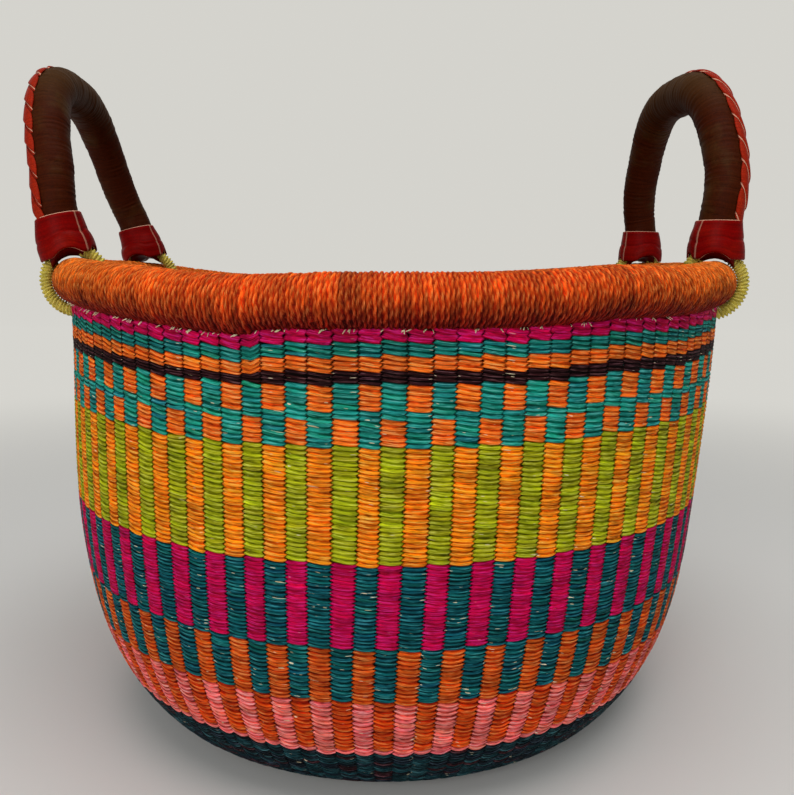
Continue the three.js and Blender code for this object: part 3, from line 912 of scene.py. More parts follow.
def fibre_group():
    """Fibres of a strand: dark and light streaks along it, a paler painted highlight on some, natural
    flecks where the dye missed, and painted shade, darker and deeper in colour, in gaps.

    Strand is (place along the strand, place across it, amount of flecks).
    """
    name = "Straw Fibres"
    if name in bpy.data.node_groups:
        return bpy.data.node_groups[name]
    tree, ends, result = group(
        name,
        [
            ("Dye", "NodeSocketColor", (0.5, 0.5, 0.5, 1)),
            ("Strand", "NodeSocketVector", (0, 0, 0)),
            ("Gap", "NodeSocketFloat", 0.0),
            ("Fleck Dye", "NodeSocketColor", (0.7, 0.6, 0.4, 1)),
        ],
        [("Colour", "NodeSocketColor"), ("Height", "NodeSocketFloat"), ("Roughness", "NodeSocketFloat")],
    )
    given = ends.outputs
    along, across, flecks = parts(tree, given["Strand"])

    def streaks(often, narrow, place, detail):
        """Noise drawn out along the strand, from its own place in the texture."""
        x, y = calc(tree, "MULTIPLY", along, often), calc(tree, "MULTIPLY", across, narrow)
        return noise(tree, vector_of(tree, x, y, place), 1.0, detail, 0.6)

    streak = streaks(1.7, 5.5, 0.0, 3.0)
    patch = between(tree, streaks(0.6, 0.3, 5.0, 1.0), 0.3, 0.7, 0.78, 1.24)
    tone = calc(tree, "MULTIPLY", between(tree, streak, 0.3, 0.7, 0.48, 1.4), patch)
    # Painted highlight: some streaks turn towards a paler copy of the dye
    pale = node(tree, "ShaderNodeGamma", {0: given["Dye"], 1: 0.5}).outputs[0]
    painted_sheen = between(tree, streaks(1.2, 4.0, 13.0, 2.0), 0.52, 0.64, 0.0, 0.8)
    colour = blend(tree, painted_sheen, toned(tree, given["Dye"], tone), pale)
    cut = calc(tree, "MULTIPLY_ADD", flecks, 0.035, streaks(1.25, 2.2, 9.0, 1.0))
    fleck = calc(tree, "MULTIPLY", between(tree, cut, 0.75, 0.78), flecks)
    colour = blend(tree, calc(tree, "MINIMUM", fleck, 0.95), colour, given["Fleck Dye"])
    # Painted shade in the grooves: darker and deeper in colour
    deeper = calc(tree, "MULTIPLY_ADD", given["Gap"], 0.7, 1.0)
    colour = node(tree, "ShaderNodeGamma", {0: colour, 1: deeper}).outputs[0]
    shade = calc(tree, "MULTIPLY_ADD", given["Gap"], -0.4, 1.0)
    tree.links.new(toned(tree, colour, shade), result.inputs["Colour"])
    tree.links.new(streak, result.inputs["Height"])
    tree.links.new(between(tree, streak, 0.3, 0.8, 0.72, 0.55), result.inputs["Roughness"])
    return tree


def finish(name, specular):
    """A new material, its tree and its shader."""
    material = bpy.data.materials.new(name)
    material.use_nodes = True
    shader = material.node_tree.nodes["Principled BSDF"]
    shader.inputs["Specular IOR Level"].default_value = specular
    return material, material.node_tree, shader


def wire(tree, shader, colour, roughness, height, strength, distance):
    """Links colour, roughness and a bump from height to a shader."""
    bump = node(
        tree, "ShaderNodeBump", {"Height": height, "Strength": strength, "Distance": distance}
    )
    tree.links.new(colour, shader.inputs["Base Color"])
    tree.links.new(roughness, shader.inputs["Roughness"])
    tree.links.new(bump.outputs[0], shader.inputs["Normal"])


def fibre_material(name, strands, fleck_dye, specular, strength, distance):
    """A material of fibres, whose dye, strand and painted groove shade the function strands gives."""
    if name in bpy.data.materials:
        return bpy.data.materials[name]
    material, tree, shader = finish(name, specular)
    own_dye, strand, groove_shade = strands(tree)
    inputs = {"Dye": own_dye, "Strand": strand, "Gap": groove_shade, "Fleck Dye": (*fleck_dye, 1)}
    fibres = node(tree, "ShaderNodeGroup", inputs, node_tree=fibre_group()).outputs
    looks = (fibres[key] for key in ("Colour", "Roughness", "Height"))
    wire(tree, shader, *looks, strength, distance)
    return material


def woven_material(colours):
    """Dyed straw of the wall, read from the pieces' dye and weave attributes. Painted shade darkens
    the gaps between the rows, more so near a stitch's tips, and at the columns' borders."""

    def strands(tree):
        """Its dye, its strand and the painted shade of its gaps."""
        strand = attribute(tree, "weave")
        along, across, coarse = parts(tree, strand)
        row, side = (
            calc(tree, "ABSOLUTE", calc(tree, "SUBTRACT", calc(tree, "FRACT", place), 0.5))
            for place in (across, along)
        )
        near_tip = calc(tree, "POWER", calc(tree, "MULTIPLY", side, 2.0), 3.0)
        shade_between_rows = between(tree, calc(tree, "MULTIPLY_ADD", near_tip, 0.03, row), 0.14, 0.53)
        # Painted shade between the rows and at the columns' borders, less on smooth straw
        groove_shade = calc(tree, "MAXIMUM", shade_between_rows, between(tree, side, 0.44, 0.5, 0.0, 0.25))
        groove_shade = calc(tree, "MULTIPLY", groove_shade, between(tree, coarse, 0.0, 1.0, 0.25, 1.0))
        return attribute(tree, "dye", "Color"), strand, groove_shade

    return fibre_material("dyed_straw", strands, colours.natural, STRAW_SHINE, 0.8, 0.0005)


def whipping_material():
    """Twisted cord of the roll, its fibres along each ply."""

    def strands(tree):
        """Its dye, its strand and the painted shade of its grooves."""
        twist, lay, groove_shade = parts(tree, attribute(tree, "cord"))
        return attribute(tree, "dye", "Color"), vector_of(tree, twist, lay, 0.3), groove_shade

    flecks = dye(*WHIPPING_FLECKS)
    return fibre_material("whipping_cord", strands, flecks, STRAW_SHINE, 0.4, 0.0003)


def straw_material(name, swatch, flecks):
    """Undyed straw or rope, its fibres along the piece's strand attribute, greener in places."""

    def strands(tree):
        """Its dye, its strand and the painted shade of its grooves."""
        along, across, groove_shade = parts(tree, attribute(tree, "strand"))
        place = node(tree, "ShaderNodeTexCoord").outputs["Object"]
        greener = tuple(own * share for own, share in zip(swatch, (0.8, 0.92, 0.6)))
        own_dye = blend(tree, noise(tree, place, 90.0), tuple(swatch), greener)
        return own_dye, vector_of(tree, along, across, flecks), groove_shade

    return fibre_material(name, strands, dye(*STRAW_FLECKS), ROPE_SHINE, 0.5, 0.0003)


def leather_material(name, colours, wear, roughness, worn_above):
    """Leather: grain, fine cross wrinkles, patches worn above a height, and raw cut edges. Its
    colours are its own, the worn one and that of the edges.

    The hide attribute is (share of a raw edge, distance along in wrinkles, share of shadow).
    """
    own, worn, edge = (tuple(colour) for colour in colours)
    material, tree, shader = finish(name, LEATHER_SHINE)
    raw, wrinkles, shadow = parts(tree, attribute(tree, "hide"))
    place = node(tree, "ShaderNodeTexCoord").outputs["Object"]
    patches = noise(tree, place, 45.0, 4.0, 0.6)
    grain = noise(tree, place, 900.0)
    beside = calc(tree, "MULTIPLY", shadow, 3.0)
    crease = noise(tree, vector_of(tree, wrinkles, beside, 0.0), 1.0, 3.0, 0.7)
    high = between(tree, parts(tree, place)[2], worn_above, worn_above + 0.035, 0.0, 0.6)
    rubbed = calc(tree, "MAXIMUM", between(tree, patches, 0.45, 0.75, 0.0, wear), high)
    colour = blend(tree, rubbed, own, worn)
    tone = between(tree, crease, 0.3, 0.7, 0.7, 1.25)
    tone = calc(tree, "MULTIPLY", tone, between(tree, grain, 0.3, 0.7, 0.9, 1.1))
    colour = toned(tree, colour, tone)
    colour = toned(tree, colour, calc(tree, "MULTIPLY_ADD", shadow, -0.7, 1.0))
    colour = blend(tree, between(tree, raw, 0.45, 0.6), colour, edge)
    rough = between(tree, patches, 0.3, 0.75, roughness + 0.08, roughness - 0.06)
    wire(tree, shader, colour, rough, calc(tree, "MULTIPLY_ADD", grain, 0.35, crease), 0.35, 0.0004)
    return material


# Operators


class BasketOperator:
    """What every builder shares."""

    bl_options = {"REGISTER", "UNDO"}


class BASKET_OT_base(BasketOperator, bpy.types.Operator):
    """Weave the dark base: its corner outside and inside, and the start disc on both faces"""

    bl_idname = "basket.base"
    bl_label = "Weave Base"

    def execute(self, context):
        for word, run, seed in (("outside", outer_run(), 100), ("inside", inner_run(), 200)):
            _, start, stagger = wall_stretches(run)[-1]
            options = {
                "seed": seed, "across": ACROSS_COARSE, "inside": word == "inside", "fade": 0.5,
                "within": WITHIN_FINE if word == "outside" else WITHIN_COARSE,
                "stagger": (stagger[1], 0.5 * BASE_PITCH), "coarse": BASE_COARSENESS,
                "shape": [(band, own, own) for band, own in zip(BANDS[-1][6:], BASE_SHAPE)],
            }
            end = self.at_radius(run, DISC_RADIUS)
            self.put(context, "base_corner_" + word, run, start, end, options, "base_band")
            options.update(
                within=WITHIN_COARSE, stagger=(0, 0), fade=0.0, shape=[(own,) * 3 for own in DISC_SHAPE]
            )
            for zone, (outer, inner, count) in enumerate(DISC_RINGS, 1):
                start, end = self.at_radius(run, outer), self.at_radius(run, inner)
                options.update(seed=seed + zone, columns=count)
                self.put(context, f"base_disc_{word}_{zone}", run, start, end, options, "base_disc")
        return {"FINISHED"}

    def at_radius(self, run, radius):
        """The distance along a run at which it has come in under the basket to a radius."""
        below = slice(300, None)
        return float(np.interp(-radius, -run.radius[below], run.distance[below]))

    def put(self, context, name, run, start, end, options, stands_for):
        """Puts a stretch of base weave whose stitches are teal, dark or maroon at random."""
        colours = context.scene.straw_colours
        rows = round((end - start) / BASE_PITCH)
        points, strand, shares, row = weave(context.scene.basket_weave, run, start, end, rows, options)
        rng = np.random.default_rng(len(name) * 7 + rows)
        palette = np.array([colours.base_teal, colours.base_dark, colours.base_maroon])
        pick = rng.choice(3, (len(points), rows), p=BASE_DYE_SHARES)
        shade = np.exp(rng.normal(0, 0.3, pick.shape))[..., None]
        stitches = np.take(np.clip(palette[pick] * shade, 0, 1), row, axis=1)[:, :, None]
        values = {"weave": strand, "dye": stitches}
        piece = put_tubes(name, points, shares, (0.018, end - start), values)
        hand_over(piece, woven_material(colours), "basket", "dark_straw", stands_for)


class BASKET_OT_wall(BasketOperator, bpy.types.Operator):
    """Weave the nine coloured bands of the wall"""

    bl_idname = "basket.wall"
    bl_label = "Weave Wall"

    def execute(self, context):
        weave_bands(context.scene, outer_run(), False)
        return {"FINISHED"}


class BASKET_OT_inside(BasketOperator, bpy.types.Operator):
    """Weave the inner face of the wall, where the two dyes of a band have changed places"""

    bl_idname = "basket.inside"
    bl_label = "Weave Inside"

    def execute(self, context):
        weave_bands(context.scene, inner_run(), True)
        return {"FINISHED"}


def weave_bands(scene, run, inside):
    """Puts every band of the wall on its outer or its inner face."""
    weaving, colours = scene.basket_weave, scene.straw_colours
    stretches = wall_stretches(run)
    shapes = [band[6:] for band in BANDS]
    shapes = [shapes[0], *shapes, BASE_SHAPE]
    for k, (node_name, rows, slot, first, second, change, *_) in enumerate(BANDS):
        start, end, stagger = stretches[k]
        kinds = band_kinds(rows, change, COLUMNS, 1 if node_name == "band_pink_rust" else 0)
        names = (second, first) if inside else (first, second)
        low, high = (COARSENESS.get(name, USUAL_COARSENESS) for name in names)
        options = {
            "seed": k + (50 if inside else 0), "inside": inside, "stagger": stagger,
            "shape": list(zip(*shapes[k : k + 3])), "coarse": low + (high - low) * kinds,
        }
        if inside:
            options.update(across=ACROSS_COARSE, within=WITHIN_COARSE)
        points, strand, shares, row = weave(weaving, run, start, end, rows, options)
        dyes = (getattr(colours, name) for name in names)
        stitches = stitch_dyes(*dyes, kinds, row, weaving.stitch_spread, weaving.seed + k)
        piece = put_tubes(
            ("inside_" if inside else "weave_") + node_name.removeprefix("band_"), points, shares,
            (0.022, end - start), {"weave": strand, "dye": stitches},
        )
        replaced = "stakes" if inside else node_name
        hand_over(piece, woven_material(colours), "basket", slot, replaced)


def put_bundle(scene, name, points, strand, length, chunks, body, stands_for):
    """A bundle of natural straw inside another piece."""
    girth = TURN * LEG_RADIUS
    piece = put_tube(name, points, (girth, length), {"strand": strand}, chunks)
    material = straw_material("bundled_straw", scene.straw_colours.natural, 0.2)
    hand_over(piece, material, body, "natural_straw", stands_for)


class BASKET_OT_rim(BasketOperator, bpy.types.Operator):
    """Whip the rim roll with twisted cord, and lay the bundle of straw inside it"""

    bl_idname = "basket.rim"
    bl_label = "Whip Rim"

    def execute(self, context):
        rim, colours = context.scene.basket_rim, context.scene.straw_colours
        rng = np.random.default_rng(12)
        loose = rng.normal(0, WRAP_LOOSENESS, rim.wraps)
        phases = rng.uniform(0, TURN, rim.wraps)
        slack = rng.normal(0, WRAP_SLACK, rim.wraps)
        tones = rng.normal(0, WRAP_TONE, rim.wraps) + RUN_TONE * self.runs(rng, rim.wraps)
        browns = np.clip(0.3 * self.runs(rng, rim.wraps) - 0.3, 0, BROWNEST)
        grain_tones = rng.normal(0, GRAIN_TONE, (rim.wraps, GRAINS))
        quarter = rim.wraps // 4
        turn = once_round(WHIPPING_SIDES)[None]
        level = (1 - np.cos(turn)) / 2
        crest = rim.ply_offset + rim.ply_radius
        deep, bright, brown, golden = (
            np.array(getattr(colours, "whipping" + word)) for word in ("_deep", "", "_brown", "_golden")
        )
        for k, word in enumerate(("front", "right", "rear", "left")):
            wrap = np.arange(quarter * WRAP_SAMPLES + 1)[:, None] / WRAP_SAMPLES
            wrap = wrap + (k - 0.5) * quarter
            own = np.floor(wrap).astype(int) % rim.wraps
            across = (wrap % 1 - 0.5) * TURN * ROLL_CIRCLE / rim.wraps
            twist = turn * ROLL_RADIUS / rim.twist_length * TURN + phases[own]
            height, grain = self.cord(across, twist, rim)
            radius = ROLL_RADIUS + rim.proud - crest + height + loose[own]
            angle = (wrap + np.sin(turn + 0.6) * slack[own]) / rim.wraps * TURN
            # Towards the underside the wraps turn to the deep colour: partly the cord's deeper red,
            # partly painted shade
            fade = smooth((level - 0.05 + 0.25 * tones[own]) / 0.76)[..., None]
            sides = smooth((np.abs(np.sin(angle)) - 0.35) / 0.5)[..., None]
            dyes = deep + (bright + (golden - bright) * 0.8 * sides - deep) * fade
            dyes = dyes + (brown - dyes) * (browns[own] * np.minimum(1, 1.4 * level))[..., None]
            dyes = dyes * np.exp(tones[own] + grain_tones[own, grain % GRAINS])[..., None]
            # Painted shade in the grooves between the plies and the wraps, by depth below the crest
            groove_shade = np.clip((crest - height - 0.00018) / 0.0007, 0, 1)
            cord = joined(twist / math.pi, wrap * 3.2 + 1.4 * turn, groove_shade)
            piece = put_tube(
                "whipping_" + word, on_roll(angle, turn, radius),
                (TURN * ROLL_RADIUS, TURN * ROLL_CIRCLE / 4),
                {"cord": cord, "dye": np.clip(dyes, 0, 1)}, chunks=3,
            )
            hand_over(piece, whipping_material(), "basket", "rim_straw", "rim_whipping")
        self.bundle(context.scene)
        return {"FINISHED"}

    def bundle(self, scene):
        """The straw bundle inside the whipping, which follows the waves of the rim."""
        angle = (np.arange(241) / 240 * TURN)[:, None]
        turn = once_round(24)[None]
        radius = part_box("rim_core")[1].y - ROLL_CIRCLE
        points = on_roll(angle, turn, radius)
        strand = joined(angle * 20, turn * 9, 0)
        length = TURN * ROLL_CIRCLE
        put_bundle(scene, "rim_bundle", points, strand, length, 6, "basket", "rim_core")

    def runs(self, rng, count):
        """Noise with a spread of one that stays alike over runs of about seven places in a ring."""
        ring = np.tile(rng.normal(0, 1, count), 3)
        spread = np.convolve(ring, np.hanning(13), "same")[count : 2 * count]
        return spread / spread.std()

    def cord(self, across, twist, rim):
        """Height of a two-ply cord, and the number of the grain that shows. A ply is a circle that
        swings from side to side and up and down as the cord twists, and the higher one shows."""
        heights, grains = [], []
        for half in (0, 1):
            turn = twist + half * math.pi
            side = across + rim.ply_offset * np.cos(turn)
            circle = np.sqrt(np.clip(rim.ply_radius**2 - side**2, 0, None))
            heights.append(np.where(circle > 0, rim.ply_offset * np.sin(turn) + circle, 0))
            grains.append(2 * np.round((turn - math.pi / 2) / TURN).astype(int) + half)
        grain = np.where(heights[0] >= heights[1], *grains)
        return np.maximum(np.maximum(*heights), 0), grain


class BASKET_OT_tips(BasketOperator, bpy.types.Operator):
    """Set the cut straw tips that stick out between the roll and the wall"""

    bl_idname = "basket.tips"
    bl_label = "Set Straw Tips"

    def execute(self, context):
        rim, colours = context.scene.basket_rim, context.scene.straw_colours
        rng = np.random.default_rng(5)
        bunch = np.repeat(np.arange(COLUMNS), rng.integers(0, 6, COLUMNS))
        count = len(bunch)
        angle = (bunch + 0.3 + rng.normal(0, 0.16, count)) / COLUMNS * TURN
        length = rim.tip_length * rng.uniform(0.45, 1.1, count)
        thick = rng.uniform(0.00016, 0.00030, count)
        lean = rng.normal(-0.5, 0.4, count)
        drop = rng.uniform(0.35, 0.8, count)
        sine, cosine, none = np.sin(angle), np.cos(angle), 0 * angle
        outwards = joined(sine, -cosine, none)
        way = outwards * 0.75 + joined(cosine, sine, none) * lean[:, None]
        way = unit(way - joined(none, none, drop))
        square = unit(np.cross(way, outwards))
        other = np.cross(way, square)
        foot = turned(angle, none + WALL_RADIUS - 0.0004, none + WALL_TOP + 0.0005)
        along = length[:, None] * np.array([0, 0.35, 0.7, 1.0])
        width = thick[:, None] * np.array([1, 1, 0.92, 0.7])
        turn = once_round(5)[:, None]
        ring = np.cos(turn) * square[:, None] + 0.6 * np.sin(turn) * other[:, None]
        points = (foot[:, None] + way[:, None] * along[..., None])[:, :, None]
        points = points + ring[:, None] * width[..., None, None]
        strand = joined(angle[:, None, None] * 40, turn[:, 0] + 0 * along[..., None], 0)
        shares = np.arange(5) / 5
        size = (0.003, rim.tip_length)
        piece = put_tubes("straw_tips", points, shares, size, {"strand": strand})
        hand_over(piece, straw_material("cut_straw", colours.natural, 0.4), "basket", "natural_straw")
        return {"FINISHED"}


class BASKET_OT_leather(BasketOperator, bpy.types.Operator):
    """Wrap both grips in brown leather, over their bundles of straw"""

    bl_idname = "basket.leather"
    bl_label = "Wrap Grips"

    def execute(self, context):
        sizes, leathers = context.scene.basket_handles, context.scene.leather_colours
        colours = (leathers.brown, leathers.brown_worn, leathers.brown_worn)
        material = leather_material("wrapped_leather", colours, 0.55, 0.55, GRIP_WORN)
        angle = once_round(GRIP_SIDES)[None]
        for name, handle in HANDLES.items():
            path, out, away, distance = arch_frame(handle, LEG_FOOT, GRIP_STEPS)
            top = path[..., 2]
            bend = smooth((top - CROWN_START) / 0.025) * (0.5 - 0.5 * np.cos(angle))
            turns = distance / sizes.wrap_width + angle / TURN * handle["side"]
            edge = turns % 1
            step = smooth(edge / 0.08) * (1 - 0.75 * edge) - 0.8
            fine = ripples(distance, angle, handle["seed"], 14, np.array([2600, 2.4]))
            broad = ripples(distance, angle, handle["seed"] + 1, 6, np.array([260, 2.4]))
            folds = np.sin(distance / FOLD_LENGTH * TURN + 1.2 * np.sin(angle * 2))
            folds = FOLD_HEIGHT * folds * (0.6 + 0.4 * broad) - CROWN_SQUEEZE
            relief = sizes.wrap_step * step + sizes.wrinkle * fine + 0.0002 * broad
            radius = leather_radius(handle, top) + relief + folds * bend
            points = on_handle(handle, tube_round(path, out, away, angle, radius))
            shadow = np.clip(1 - edge / 0.05, 0, 1) * 0.6
            hide = joined(0 * radius, distance * 900 + 0.4 * np.sin(angle), shadow)
            size = (TURN * LEG_RADIUS, distance[-1, 0])
            piece = put_tube(name + "_grip", points, size, {"hide": hide}, chunks=3)
            hand_over(piece, material, name, "brown_leather", name + "_leather")
            self.bundle(context.scene, name, handle)
        return {"FINISHED"}

    def bundle(self, scene, name, handle):
        """The bundle of straw inside a grip."""
        path, out, away, distance = arch_frame(handle, LEG_FOOT + 0.002, 120)
        angle = once_round(BUNDLE_SIDES)[None]
        radius = leather_radius(handle, path[..., 2]) - BUNDLE_DEPTH
        points = on_handle(handle, tube_round(path, out, away, angle, radius))
        strand = joined(distance * 60, angle * 6, 0)
        put_bundle(scene, name + "_bundle", points, strand, distance[-1, 0], 3, name, name + "_core")


class BASKET_OT_lacing(BasketOperator, bpy.types.Operator):
    """Lace the seam of both grips with red leather"""

    bl_idname = "basket.lacing"
    bl_label = "Lace Seams"

    def execute(self, context):
        sizes, leathers = context.scene.basket_handles, context.scene.leather_colours
        colours = (leathers.lacing, leathers.red_worn, leathers.cut_edge)
        material = leather_material("red_lacing", colours, 0.5, 0.45, NEVER_WORN)
        across = np.append(np.linspace(-1, 1, LACE_SIDES), (0.4, -0.4))
        face = np.append(np.ones(LACE_SIDES), (0, 0))
        for name, handle in HANDLES.items():
            path, out, away, distance = arch_frame(handle, handle["cuff"] - 0.002, 1000)
            length = distance[-1, 0]
            stitches = round(length / sizes.stitch)
            rng = np.random.default_rng(handle["seed"])
            knots = np.arange(1, stitches) + rng.normal(0, 0.05, stitches - 1)
            knots = np.concatenate([[0], knots, [stitches]])
            phase = np.linspace(0, stitches, LACE_STEPS)[:, None]
            share = np.clip(phase - handle["side"] * 0.5 * across, 0, stitches)
            reached = np.interp(share, np.arange(stitches + 1), knots) / stitches * length
            path, out, away = (
                joined(*(np.interp(reached, distance[:, 0], values[:, 0, k]) for k in range(3)))
                for values in (path, out, away)
            )
            top = path[..., 2]
            edge = phase % 1
            bulge = np.sin(math.pi * (edge * 0.85 + 0.15)) ** 0.8
            width = LACE_WIDTH[0] + LACE_WIDTH[1] * bulge
            lift = smooth(edge / 0.2) * (1 - 0.6 * edge)
            rise = LACE_THICKNESS[0] + LACE_THICKNESS[1] * lift
            seat = leather_radius(handle, top) - LACE_SEAT
            radius = seat + face * rise * (1 - 0.55 * across**4)
            place, to_crown, to_cuff = LACE_PLACE
            near_cuff = np.exp((handle["cuff"] - top) / 0.016)
            middle = place - to_crown * climbed(handle, top) ** 3 - to_cuff * near_cuff
            angle = np.radians(middle) + across * width / seat
            points = on_handle(handle, tube_round(path, out, away, angle, radius))
            raw = np.clip(1.2 - np.abs(edge - 0.07) / 0.034, 0, 1) * face
            shadow = np.clip(1 - np.abs(edge - 0.98) / 0.07, 0, 1)
            values = {"hide": joined(raw, share * 14, shadow)[None]}
            shares = np.append(np.linspace(0, 0.66, LACE_SIDES), (0.78, 0.9))
            size = (LACE_GIRTH, length)
            piece = put_tubes(name + "_laced_seam", points[None], shares, size, values, chunks=4)
            hand_over(piece, material, name, "red_leather", name + "_lacing")
        return {"FINISHED"}


class BASKET_OT_cuffs(BasketOperator, bpy.types.Operator):
    """Fit a red leather cuff to each leg, cut in a saddle over the roll and the loop"""

    bl_idname = "basket.cuffs"
    bl_label = "Fit Cuffs"

    def execute(self, context):
        leathers = context.scene.leather_colours
        colours = (leathers.red, leathers.red_worn, leathers.cut_edge)
        material = leather_material("cuff_leather", colours, 0.5, 0.42, NEVER_WORN)
        for name, handle, end, word in legs():
            points, hide = self.cuff(handle, end)
            piece = put_ring(f"{name}_cuff_leather_{word}", points, {"hide": hide})
            hand_over(piece, material, name, "red_leather", f"{name}_cuff_{word}")
            points, hide = self.lining(handle, end)
            size = (TURN * LEG_RADIUS, 0.03)
            piece = put_tube(f"{name}_cuff_lining_{word}", points, size, {"hide": hide})
            hand_over(piece, material, name, "red_leather")
        return {"FINISHED"}

    def cuff(self, handle, end):
        """Loops of points round the section of a cuff, up its face and down inside, and its hide."""
        face = CUFF_STEPS
        share = np.append(np.linspace(0, 1, face), (1.0, 0.97, 0.6, 0.25, 0.0, 0.0))[:, None]
        outside = np.append(np.ones(face), np.zeros(6))[:, None]
        lip = np.append(np.ones(face), (0.0, 0.0, 0.0, 0.0, 0.0, 0.3))[:, None]
        lip[0], lip[face - 1] = 0.4, 0.6
        grown = np.interp(share[:, 0], CUFF_STATIONS, CUFF_SWELL)
        grown[:face] = np.convolve(np.pad(grown[:face], 3, "edge"), np.ones(7) / 7, "valid")
        angle = once_round(CUFF_SIDES)
        overlap = 1 - ((angle - SEAM_ANGLE) / TURN) % 1
        seed = handle["seed"] + end
        radius = LEG_RADIUS + grown[:, None]
        bore = np.maximum(radius - CUFF_LEATHER, leather_radius(handle, handle["cuff"]) + 0.0004)
        radius = np.where(outside > 0, radius - CUFF_LEATHER * (1 - lip) * 0.5, bore)
        folds = ripples(share * 7, angle, seed, 8, np.array([1.6, 2.6]))
        waist = share - CUFF_WAIST - 0.05 * np.sin(angle + seed)
        relief = 0.0003 * folds - 0.0004 * np.exp(-((waist / 0.05) ** 2)) + 0.0007 * (overlap - 1)
        radius = radius + outside * relief
        across, along = radius * np.cos(angle), radius * np.sin(angle)
        crest = np.sqrt(ROPE_CREST**2 - across[0] ** 2)
        beside = np.abs(along[0]) >= ROPE_RADIUS + 2 * GAP
        lowest = np.where(beside, CUFF_FOOT, np.maximum(CUFF_FOOT, crest))
        foot = saddle_foot(across[0] * 0.98, end, along[0] * 0.98, lowest, CUFF_CLEARANCE)
        foot = (np.roll(foot, 1) + 2 * foot + np.roll(foot, -1)) / 4 + 0.0002
        points = self.beside_leg(handle, end, across, along, foot + (handle["cuff"] - foot) * share)
        seam = 0.52 * ((overlap > 0.985) & (outside > 0))
        rims = (share > 0.985) | ((share < 0.01) & (outside < 1))
        # The inside of the cuff gets painted shade
        hide = joined(np.maximum(seam, rims), share * 12, 0.5 * (outside < 1))
        return np.moveaxis(points, 1, 0), np.moveaxis(hide, 1, 0)

    def lining(self, handle, end):
        """The tucked-in end of the leather below the leg, which fills the cuff down to the roll."""
        size = leather_radius(handle, LEG_FOOT) - 0.0003
        share = np.array([0.02, 0.2, 0.4, 0.6, 0.8, 0.93, 1, 1, 1, 0.5, 0.02])[:, None]
        angle = once_round(LINING_SIDES)
        across, along = size * share * np.cos(angle), size * share * np.sin(angle)
        lowest = np.sqrt(np.maximum((ROLL_RADIUS + 0.0007) ** 2 - across**2, 0.0085**2))
        foot = saddle_foot(across, end, along, lowest, LINING_CLEARANCE)
        foot[0] = foot[0].mean()
        height = np.concatenate([foot[:7], foot[6:7] * 0.5 + 0.011, 0 * foot[:3] + 0.022])
        points = self.beside_leg(handle, end, across, along, height)
        # The lining gets painted shade all over
        return points, joined(0, height * 900, 0.55)

    def beside_leg(self, handle, end, across, along, height):
        """Points at distances outboard of and along the roll from the middle of a leg."""
        centre = standing(handle, end * LEG_SPREAD, height)
        x, y = centre[..., 0] + handle["side"] * across, centre[..., 1] + along
        return on_handle(handle, joined(x, y, height))


class BASKET_OT_loops(BasketOperator, bpy.types.Operator):
    """Twist the four rope loops that hold the handles"""

    bl_idname = "basket.loops"
    bl_label = "Twist Loops"

    def execute(self, context):
        sizes, colours = context.scene.basket_handles, context.scene.straw_colours
        material = straw_material("twisted_rope", colours.rope, 0.5)
        turn = once_round(ROPE_SIDES)[None]
        path, distance = self.path(LOOP_RADIUS - sizes.rope_hug)
        offset = ROPE_RADIUS + sizes.rope_loose - ROPE_PLY
        lay = turn - distance[:, None] / sizes.rope_twist * TURN
        radius = offset * np.abs(np.cos(lay)) + np.sqrt(ROPE_PLY**2 - (offset * np.sin(lay)) ** 2)
        # Painted shade in the grooves between the plies
        groove_shade = 0.8 * np.clip(1 - np.abs(np.cos(lay)) / 0.3, 0, 1)
        strand = joined(distance[:, None] * 130 + 0.6 * turn, lay * 1.3, groove_shade)
        for name, handle, end, word in legs():
            placed = path * np.array([handle["side"], 1, 1]) + np.array([0, end * LEG_SPREAD, 0])
            along = unit(np.gradient(placed, axis=0))
            side = np.array([0.0, 1.0, 0.0])
            across = np.cross(along, side)
            points = tube_round(placed[:, None], across[:, None], side, turn, radius)
            size = (TURN * ROPE_RADIUS, distance[-1])
            values = {"strand": strand}
            piece = put_tube(f"{name}_rope_{word}", on_handle(handle, points), size, values, chunks=2)
            hand_over(piece, material, name, "rope", f"{name}_loop_{word}")
        return {"FINISHED"}

    def path(self, reach):
        """An arc about the hinge line, open at the top, where straight ends turn up into the leg."""
        sweep = np.radians(np.linspace(LOOP_OPENING, 360 - LOOP_OPENING, 400))
        arc = joined(reach * np.sin(sweep), 0, reach * np.cos(sweep))
        tips = [np.array([way * LOOP_END_SPREAD, 0, LEG_FOOT - 0.0003]) for way in (1, -1)]
        share = np.linspace(0, 1, 30)[:, None]
        rise = tips[0] + (arc[0] - tips[0]) * share[:-1]
        fall = arc[-1] + (tips[1] - arc[-1]) * share[1:]
        path, _ = even_steps(np.concatenate([rise, arc, fall]), 500)
        for _ in range(12):
            path[1:-1] = (path[:-2] + 2 * path[1:-1] + path[2:]) / 4
        return even_steps(path, ROPE_STEPS)


